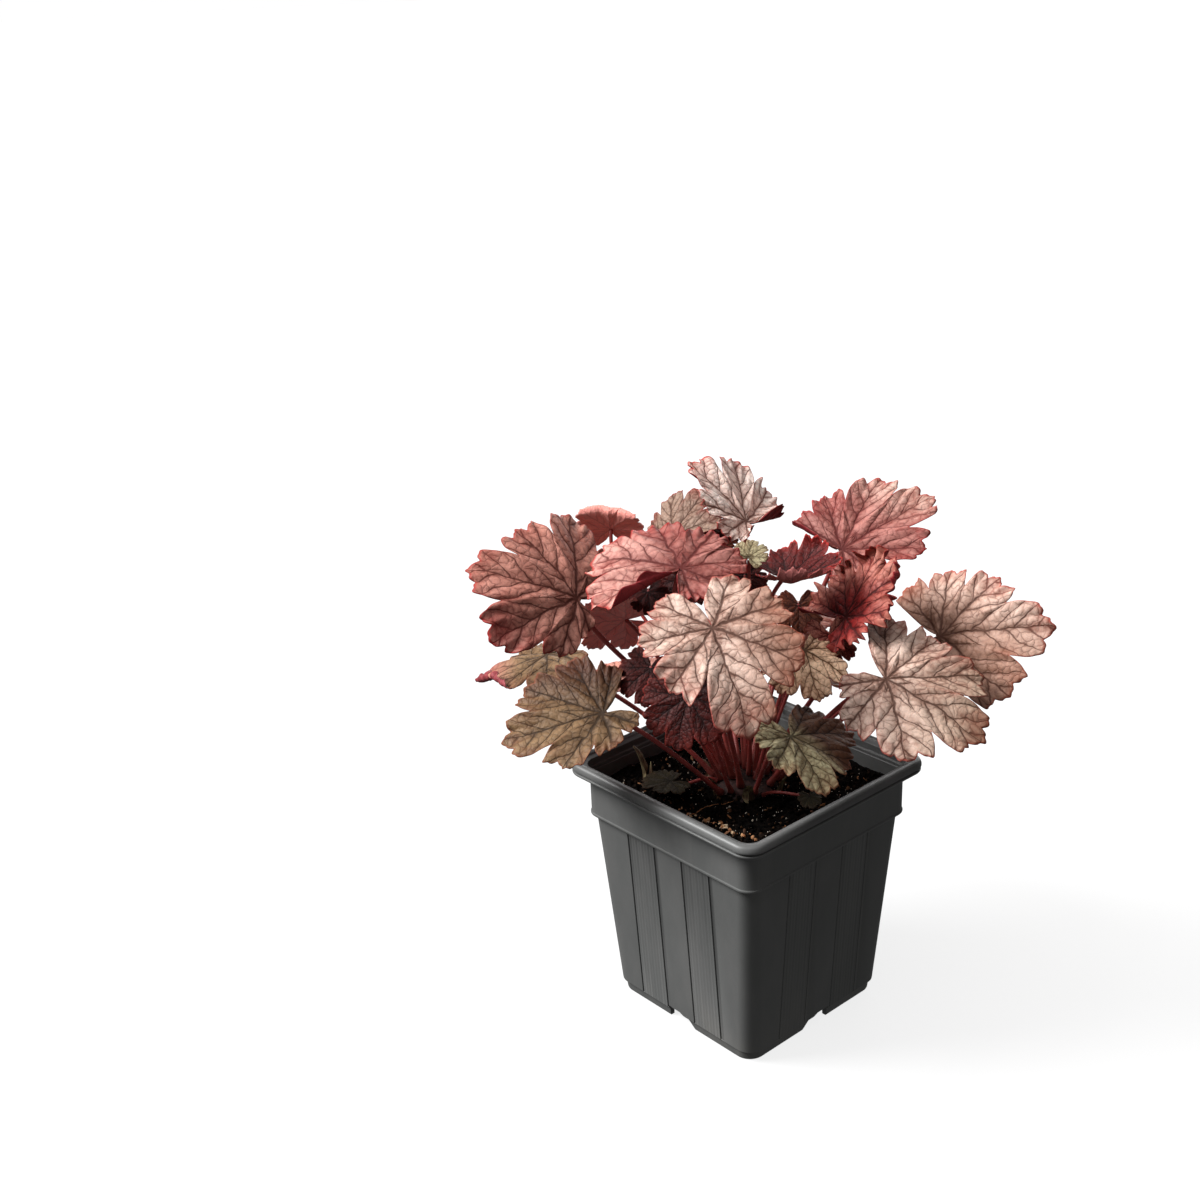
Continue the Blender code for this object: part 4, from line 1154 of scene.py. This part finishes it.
def papery_sheet(bearing, reach, height, width, lean):
    """A thin pointed sheet that stands on the soil and leans out, curved round its own length."""
    a = math.radians(bearing)
    outward = np.array([math.cos(a), math.sin(a), 0.0])
    foot = outward * reach * MM
    foot[2] = soil_height(foot[0], foot[1]) - 0.5 * MM
    rings, columns = PAPER_GRID
    u = np.linspace(0.02, 0.98, rings)[:, None]
    route = foot + (u * np.array([0, 0, 1.0]) + lean * u**2 * outward) * height * MM
    wide = width / 2 * MM * np.sin(np.pi * u**0.8) ** 0.7 * (1 + 0.12 * np.sin(9 * u)) + 0.2 * MM
    turn = np.arange(columns) * 2 * np.pi / columns
    thin = PAPER_HALF_THICKNESS
    radius = wide * thin / np.sqrt((thin * np.cos(turn)) ** 2 + (wide * np.sin(turn)) ** 2)
    rows, _ = tube(route, radius, columns, outward)
    cup = (wide * np.cos(turn)) ** 2 / (width * MM) * 1.2
    rows = rows - cup[..., None] * outward
    points = closed_points(rows, rows[0].mean(0), rows[-1].mean(0))
    return Shell(points, grid_faces(rings, columns), {"shade": np.full(len(points), 0.5)}, 0)


def make_stipules(material):
    """Papery sheaths: one beside the low stalk at the left, and some round the crown."""
    sheets = [papery_sheet(218, 46, 17, 6.5, 0.25), papery_sheet(222, 43, 11, 4.0, -0.1)]
    round_crown = (20, 95, 160, 205, 262, 318)
    sheets += [papery_sheet(bearing, 17.5, 9 + bearing % 4, 5.0, 0.3) for bearing in round_crown]
    stand_in(make_piece("papery_stipules", sheets, [material]), "crown_bark")


# Materials


def main_veins(finish, place):
    """For a place on the flat leaf: its radius, its distances along and from the nearest main vein, and the
    distance to the nearest side vein. The formula is that of vein_distances.
    """
    u = finish.node("SeparateXYZ", {}, {0: place})
    v = u.other(1)
    step = math.radians(LOBE_STEP)
    angle = finish.node("Math", {"operation": "ARCTAN2"}, {0: v, 1: u}) / step
    vein = angle.one("ROUND").most(-3.0).least(3.0)
    off = (angle - vein) * step
    radius = (u * u + v * v) ** 0.5
    along = radius * off.one("COSINE")
    across = radius * off.one("SINE")
    beside = across.size()
    run = along - beside * SIDE_SLANT - beside * beside * SIDE_BOW
    turn = run / SIDE_STEP + across.over(0.0) * 0.5 + vein * VEIN_STAGGER
    return radius, along, beside, (turn - turn.one("ROUND")).size() * (SIDE_STEP * SIDE_SQUARE)


def leaf_veins(finish):
    """The share of vein, the share of smoky skin beside it, and the distance to the net, on the flat leaf.

    A vein is a line that thins outwards. A net of cells, in two sizes, fills the skin between veins. Noise
    sways all of them and breaks up the finest.
    """
    plane = finish.node("UVMap", {"uv_map": "leaf_plane"}, {})
    shift = finish.attribute("leaf_shift", "Fac")
    shifted = finish.move(plane, finish.node("CombineXYZ", {}, {0: shift * 7.3, 1: shift * 3.1}))
    drift = finish.move(finish.noise(shifted, 5.0, 3.0, 0.55, flat=True, out=1), (-0.5, -0.5, -0.5))
    radius, along, beside, side_gap = main_veins(finish, finish.move(plane, finish.scale(drift, 0.075)))
    breaks = finish.noise(shifted, 7.0, 3.0, flat=True)
    width = 0.024 - along * 0.016
    main_vein = 1 - beside.between(width * 0.3, width)
    side_width = 0.011 + breaks * 0.007 - beside * 0.022
    side_vein = 1 - side_gap.between(side_width * 0.2, side_width)
    wander = finish.move(shifted, finish.scale(drift, 0.12))
    net_gap = finish.cell_edges(wander, 12.0)
    net = (1 - net_gap.between(0.0, 0.075)) * breaks.between(0.3, 0.55)
    fine_net = (1 - finish.cell_edges(wander, 29.0).between(0.0, 0.11)) * (0.4 + breaks * 0.6)
    veins = main_vein.most(side_vein * 0.92).most(net * 0.55).most(fine_net * 0.26)
    smoke = (1 - beside.between(0.0, 0.09)) * 0.8 + (1 - side_gap.between(0.0, 0.05)) * 0.6
    smoke = smoke + (1 - net_gap.between(0.0, 0.25)) * 0.2 + (1 - radius.between(0.04, 0.34)) * 0.8
    return veins, smoke * breaks.between(0.2, 0.65), net_gap


def paint_leaf():
    """Leaf: dark veins on a mottled skin with a red edge; the underside is plain and redder."""
    finish = Finish("leaf_surface")
    place = finish.place()
    veins, smoke, net_gap = leaf_veins(finish)
    blade, patch = finish.attribute("blade"), finish.attribute("patch")
    vein_colour, edge_colour = finish.attribute("vein"), finish.attribute("edge")
    under_colour = finish.attribute("under")
    edge = finish.attribute("edge_share", "Fac")
    underside = finish.attribute("underside", "Fac")
    patches = finish.noise(place, 60.0, 4.0, 0.6).between(0.38, 0.62)
    speckle = finish.noise(place, 620.0, 5.0, 0.7)
    fresh = finish.mix(patches * 0.85, blade, patch)
    fresh = finish.mix(net_gap.between(0.06, 0.40) * 0.35, fresh, finish.stretch(blade, (1.22, 1.24, 1.24)))
    fresh = finish.mix(smoke * 0.9, fresh, finish.mix(0.65, vein_colour, patch))
    fresh = finish.mix(speckle.between(0.5, 0.8) * 0.4, fresh, vein_colour)
    fresh = finish.mix(speckle.between(0.5, 0.2) * 0.4, fresh, finish.stretch(blade, (1.3, 1.3, 1.3)))
    fresh = finish.mix(veins * 0.9, fresh, vein_colour)
    rim = edge.between(0.96, 1.0) * 0.85 + edge.between(0.6, 1.0) * patches * 0.35
    fresh = finish.mix(rim, fresh, edge_colour)
    deeper = finish.stretch(under_colour, (0.5, 0.45, 0.45))
    below = finish.mix(veins * 0.5 + patches * 0.25, under_colour, deeper)
    colour = finish.mix(underside, fresh, below)
    relief = (net_gap.between(0.0, 0.35) * 0.35 + speckle * 0.3 - veins * 0.6) * (1 - underside * 1.6)
    return finish.done(
        Base_Color=colour,
        Roughness=0.46 + veins * 0.15 + speckle * 0.12,
        Normal=finish.bump(relief, 0.4 * MM, 0.8),
        Specular_IOR_Level=0.2,
        Subsurface_Weight=0.06,
        Subsurface_Radius=(1.2, 0.6, 0.4),
        Subsurface_Scale=1.0 * MM,
    )


def paint_stalk():
    """Stalk: dark red, paler and greener at the foot, with streaks and small pits."""
    finish = Finish("stalk_skin")
    place = finish.place()
    share = finish.attribute("stalk_share", "Fac")
    streaks = finish.noise(finish.stretch(place, (1.0, 1.0, 0.12)), 900.0, 3.0)
    blotches = finish.noise(place, 120.0, 2.0)
    skin = finish.mix(blotches.between(0.4, 0.7) * 0.6, seen(166, 64, 58), seen(116, 37, 35))
    skin = finish.mix((1 - share.between(0.0, 0.16)) * 0.6, skin, seen(124, 64, 54))
    skin = finish.mix(streaks.between(0.45, 0.75) * 0.3, skin, seen(160, 88, 80))
    return finish.done(
        Base_Color=skin,
        Roughness=0.42 + streaks * 0.15,
        Normal=finish.bump(streaks, 0.12 * MM, 0.6),
        Subsurface_Weight=0.08,
        Subsurface_Radius=(1.5, 0.4, 0.3),
        Subsurface_Scale=1.0 * MM,
    )


def paint_hair():
    finish = Finish("stalk_hair")
    shade = finish.noise(finish.place(), 400.0, 1.0)
    colour = finish.mix(shade.between(0.3, 0.7), seen(206, 150, 142), seen(235, 205, 196))
    return finish.done(Base_Color=colour, Roughness=0.5)


def paint_pot():
    """Moulded plastic: charcoal, satin, with a fine grain, faint cloudy marks and a little dust low down."""
    finish = Finish("charcoal_plastic")
    place = finish.place()
    grain = finish.noise(place, 2600.0, 2.0, 0.6)
    cloud = finish.noise(finish.stretch(place, (1.0, 1.0, 0.35)), 60.0, 4.0, 0.6)
    scuffs = finish.noise(finish.stretch(place, (1.0, 1.0, 0.02)), 700.0, 2.0).between(0.62, 0.8)
    height = finish.node("SeparateXYZ", {}, {0: place}, 2)
    dust = (1 - height.between(0.0, 0.03)) * cloud.between(0.45, 0.75)
    colour = finish.mix(cloud.between(0.3, 0.75), seen(92, 93, 92), seen(101, 101, 100))
    colour = finish.mix(scuffs * 0.2, colour, seen(118, 118, 114))
    colour = finish.mix(dust * 0.2, colour, seen(124, 120, 112))
    return finish.done(
        Base_Color=colour,
        Roughness=0.37 + cloud * 0.08 + scuffs * 0.1,
        Normal=finish.bump(grain, 0.04 * MM, 0.4),
        Specular_IOR_Level=0.4,
    )


def paint_soil():
    finish = Finish("potting_soil")
    place = finish.place()
    lumps = finish.noise(place, 420.0, 5.0, 0.65)
    flecks = finish.noise(place, 1500.0, 2.0).between(0.62, 0.7)
    # Near black: the soil's own dark colour, made darker still as painted shade under the leaves
    colour = finish.mix(lumps.between(0.35, 0.7), seen(5, 4, 4), seen(18, 14, 11))
    colour = finish.mix(flecks * 0.25, colour, seen(60, 46, 36))
    bump = finish.bump(lumps, 0.8 * MM, 1.0)
    return finish.done(Base_Color=colour, Roughness=0.95, Normal=bump, Specular_IOR_Level=0.05)


def paint_lumps(name, stops, spots, darker, relief, **sockets):
    """Loose lumps, each of one of the colours in the stops, with darker spots and a grainy skin."""
    finish = Finish(name)
    grain = finish.noise(finish.place(), spots[0], 3.0)
    own = finish.node("ValToRGB", {"stops": stops}, {0: finish.attribute("shade", "Fac")})
    colour = finish.mix(grain.between(spots[1], 0.7) * spots[2], own, finish.stretch(own, darker))
    return finish.done(Base_Color=colour, Normal=finish.bump(grain, relief), **sockets)


def paint_crumb():
    # The dark stops are the crumbs' own dark colour, made darker still as painted shade under the leaves
    stops = [(0.0, seen(4, 3, 3)), (0.7, seen(15, 11, 9)), (0.94, seen(36, 26, 20)), (1.0, seen(104, 74, 52))]
    spots, darker = (1400.0, 0.3, 0.5), (0.5, 0.5, 0.5)
    return paint_lumps("soil_crumb", stops, spots, darker, 0.3 * MM, Roughness=0.92, Specular_IOR_Level=0.05)


def paint_tan_grain():
    stops = [(0.0, seen(150, 92, 52)), (0.45, seen(206, 158, 112)), (0.8, seen(226, 204, 172)),
             (1.0, seen(120, 60, 32))]
    return paint_lumps("tan_grain", stops, (1500.0, 0.4, 0.4), (0.5, 0.45, 0.4), 0.2 * MM, Roughness=0.7)


def paint_perlite():
    finish = Finish("perlite")
    shade = finish.attribute("shade", "Fac")
    grain = finish.noise(finish.place(), 2200.0, 3.0)
    colour = finish.mix(shade * 0.5 + grain * 0.3, seen(228, 220, 206), seen(150, 134, 112))
    return finish.done(Base_Color=colour, Roughness=0.85, Normal=finish.bump(grain, 0.2 * MM))


def paint_bark():
    finish = Finish("bark_bit")
    shade = finish.attribute("shade", "Fac")
    grain = finish.noise(finish.stretch(finish.place(), (1.0, 0.25, 1.0)), 1500.0, 3.0)
    colour = finish.mix(shade, seen(176, 116, 70), seen(84, 52, 32))
    colour = finish.mix(grain.between(0.4, 0.7) * 0.5, colour, seen(52, 32, 20))
    return finish.done(Base_Color=colour, Roughness=0.8, Normal=finish.bump(grain, 0.25 * MM))


def paint_stipule():
    """Dry papery skin: straw with brown streaks and a greenish tinge."""
    finish = Finish("stipule_paper")
    place = finish.place()
    streaks = finish.noise(finish.stretch(place, (1.0, 1.0, 0.2)), 900.0, 4.0)
    blots = finish.noise(place, 220.0, 3.0)
    colour = finish.mix(streaks.between(0.35, 0.65), seen(150, 136, 100), seen(92, 66, 46))
    colour = finish.mix(blots.between(0.45, 0.7) * 0.6, colour, seen(70, 34, 28))
    return finish.done(Base_Color=colour, Roughness=0.7, Normal=finish.bump(streaks, 0.15 * MM))


def paint_crown():
    finish = Finish("crown_scales")
    place = finish.place()
    bark = finish.noise(place, 260.0, 5.0, 0.6)
    colour = finish.mix(bark.between(0.35, 0.7), seen(26, 13, 11), seen(64, 34, 27))
    return finish.done(Base_Color=colour, Roughness=0.8, Normal=finish.bump(bark, 0.7 * MM))


# Stage, light and camera


STAGE_REACH = 16.0
FLOOR_GREY = 0.16
FLOOR_GLOW = 0.82
SKY = 0.13
WALL_SIDES = 64
# Lamps: name, strength, spread, bearing and angle over the floor in degrees
LAMPS = (("side_lamp", 5.5, 28, 226, 41), ("top_lamp", 1.6, 60, 232, 78), ("back_lamp", 1.3, 50, 122, 12))

CAMERA_LENS = 49.25
CAMERA_SENSOR = 36.0
CAMERA_DISTANCE = 695.7 * MM
CAMERA_ELEVATION = 22.0
CAMERA_AZIMUTH = 49.37
CAMERA_ROLL = -2.47
CAMERA_SIDE = -61.1 * MM
CAMERA_HEIGHT = 197.2 * MM


def make_camera():
    """A camera at a distance, azimuth and elevation from a point beside the pot, rolled a little."""
    azimuth, elevation, roll = (math.radians(a) for a in (CAMERA_AZIMUTH, CAMERA_ELEVATION, CAMERA_ROLL))
    back = Vector((math.sin(azimuth) * math.cos(elevation), -math.cos(azimuth) * math.cos(elevation),
                   math.sin(elevation)))
    level = (-back).cross(Vector((0, 0, 1))).normalized()
    upright = level.cross(-back)
    right = level * math.cos(roll) + upright * math.sin(roll)
    up = upright * math.cos(roll) - level * math.sin(roll)
    data = bpy.data.cameras.new("camera")
    data.lens = CAMERA_LENS
    data.sensor_width = CAMERA_SENSOR
    camera = put_in_scene("camera", data)
    turn = Matrix((right, up, back)).transposed().to_4x4()
    place = Vector((0, 0, CAMERA_HEIGHT)) + level * CAMERA_SIDE + back * CAMERA_DISTANCE
    camera.matrix_world = Matrix.Translation(place) @ turn
    bpy.context.scene.camera = camera


def add_sun(name, strength, spread, bearing, height):
    """A distant lamp that shines from a bearing, at an angle over the floor."""
    lamp = bpy.data.lights.new(name, "SUN")
    lamp.energy = strength
    lamp.angle = math.radians(spread)
    sun = put_in_scene(name, lamp)
    height = math.radians(height)
    towards = polar(math.radians(bearing), math.cos(height), math.sin(height))
    sun.rotation_mode = "QUATERNION"
    sun.rotation_quaternion = towards.to_track_quat("Z", "Y")


def pale_paper(name, base, glow, **sockets):
    """A paper that glows and doesn't draw light samples from the lamps."""
    white = (1.0, 1.0, 1.0, 1.0)
    paper = Finish(name).done(
        Base_Color=(base, base, base, 1.0), Emission_Color=white, Emission_Strength=glow, **sockets
    )
    paper.cycles.emission_sampling = "NONE"
    return paper


def set_up(name, points, faces, paper):
    """A surface of the stage. Neither the object's colours nor its gloss pick it up."""
    mesh = bpy.data.meshes.new(name)
    mesh.from_pydata(points, [], faces)
    mesh.materials.append(paper)
    surface = put_in_scene(name, mesh)
    surface.visible_diffuse = False
    surface.visible_glossy = False
    return surface


def make_wall(reach):
    """A round pale wall near the floor's edge, of two rings of points. It lights and shades nothing."""
    turn = np.linspace(0, 2 * np.pi, WALL_SIDES + 1)[:-1]
    ring = np.stack([np.cos(turn), np.sin(turn)], -1) * reach * 0.9
    rows = np.stack([np.column_stack([ring, np.full(WALL_SIDES, height)]) for height in (-1.0, 2.0 * reach)])
    faces = grid_faces(2, WALL_SIDES)[0] - 1
    wall = set_up("wall", rows.reshape(-1, 3).tolist(), faces.tolist(), pale_paper("wall_paper", 0.0, 1.0))
    wall.visible_shadow = False


def make_stage():
    """A broad pale floor that glows a little, a wall round it, and a faint even sky."""
    reach = STAGE_REACH
    corners = [(-reach, -reach, 0), (reach, -reach, 0), (reach, reach, 0), (-reach, reach, 0)]
    paper = pale_paper("studio_paper", FLOOR_GREY, FLOOR_GLOW, Roughness=0.9, Specular_IOR_Level=0.1)
    set_up("floor", corners, [(0, 1, 2, 3)], paper)
    make_wall(reach)
    world = bpy.data.worlds.new("studio")
    bpy.context.scene.world = world
    world.use_nodes = True
    background = world.node_tree.nodes["Background"]
    background.inputs["Color"].default_value = (1.0, 1.0, 1.0, 1.0)
    background.inputs["Strength"].default_value = SKY
    bpy.context.scene.view_settings.view_transform = "Standard"


def add_leaf(leaf, names, seeds, slots, nodes, materials):
    """A blade and its stalk: their names, seeds, slot names, which are not used, and the nodes that they
    stand for.
    """
    blade = make_piece(names[0], [blade_shell(leaf, seeds[0])], [materials["leaf"]])
    stalk = make_piece(names[1], stalk_shells(leaf, seeds[1]), [materials["stalk"], materials["hair"]])
    stand_in(blade, slots[0], *nodes[:1])
    stand_in(stalk, slots[1], *nodes[1:])


def make_leaves(materials):
    for number, leaf in enumerate(LEAVES, 1):
        names = f"veined_leaf_{number:02d}", f"hairy_stalk_{number:02d}"
        slots, nodes = ("leaf_" + leaf.colour, "petiole"), (leaf.name + "_blade", leaf.name + "_petiole")
        if leaf.colour in ONE_PIECE:
            slots, nodes = ("leaf_" + leaf.colour,) * 2, (leaf.name,) * 2
        add_leaf(leaf, names, (number, 200 + number), slots, nodes, materials)
    for number, leaf in enumerate(YOUNG_LEAVES, 1):
        names = f"young_leaf_{number}", f"young_stalk_{number}"
        slots = "leaf_" + leaf.colour, "petiole"
        add_leaf(leaf, names, (60 + number, 300 + number), slots, (), materials)


def write_sizes():
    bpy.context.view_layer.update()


def main():
    materials = {
        "leaf": paint_leaf(), "stalk": paint_stalk(), "hair": paint_hair(), "crumb": paint_crumb(),
        "perlite": paint_perlite(), "tan_grain": paint_tan_grain(), "bark": paint_bark(),
    }
    make_camera()
    make_stage()
    for lamp in LAMPS:
        add_sun(*lamp)
    make_pot(paint_pot())
    make_soil(paint_soil())
    make_crumbs(materials)
    make_crown(paint_crown())
    make_root(materials["bark"])
    make_stipules(paint_stipule())
    make_leaves(materials)
    write_sizes()


main()
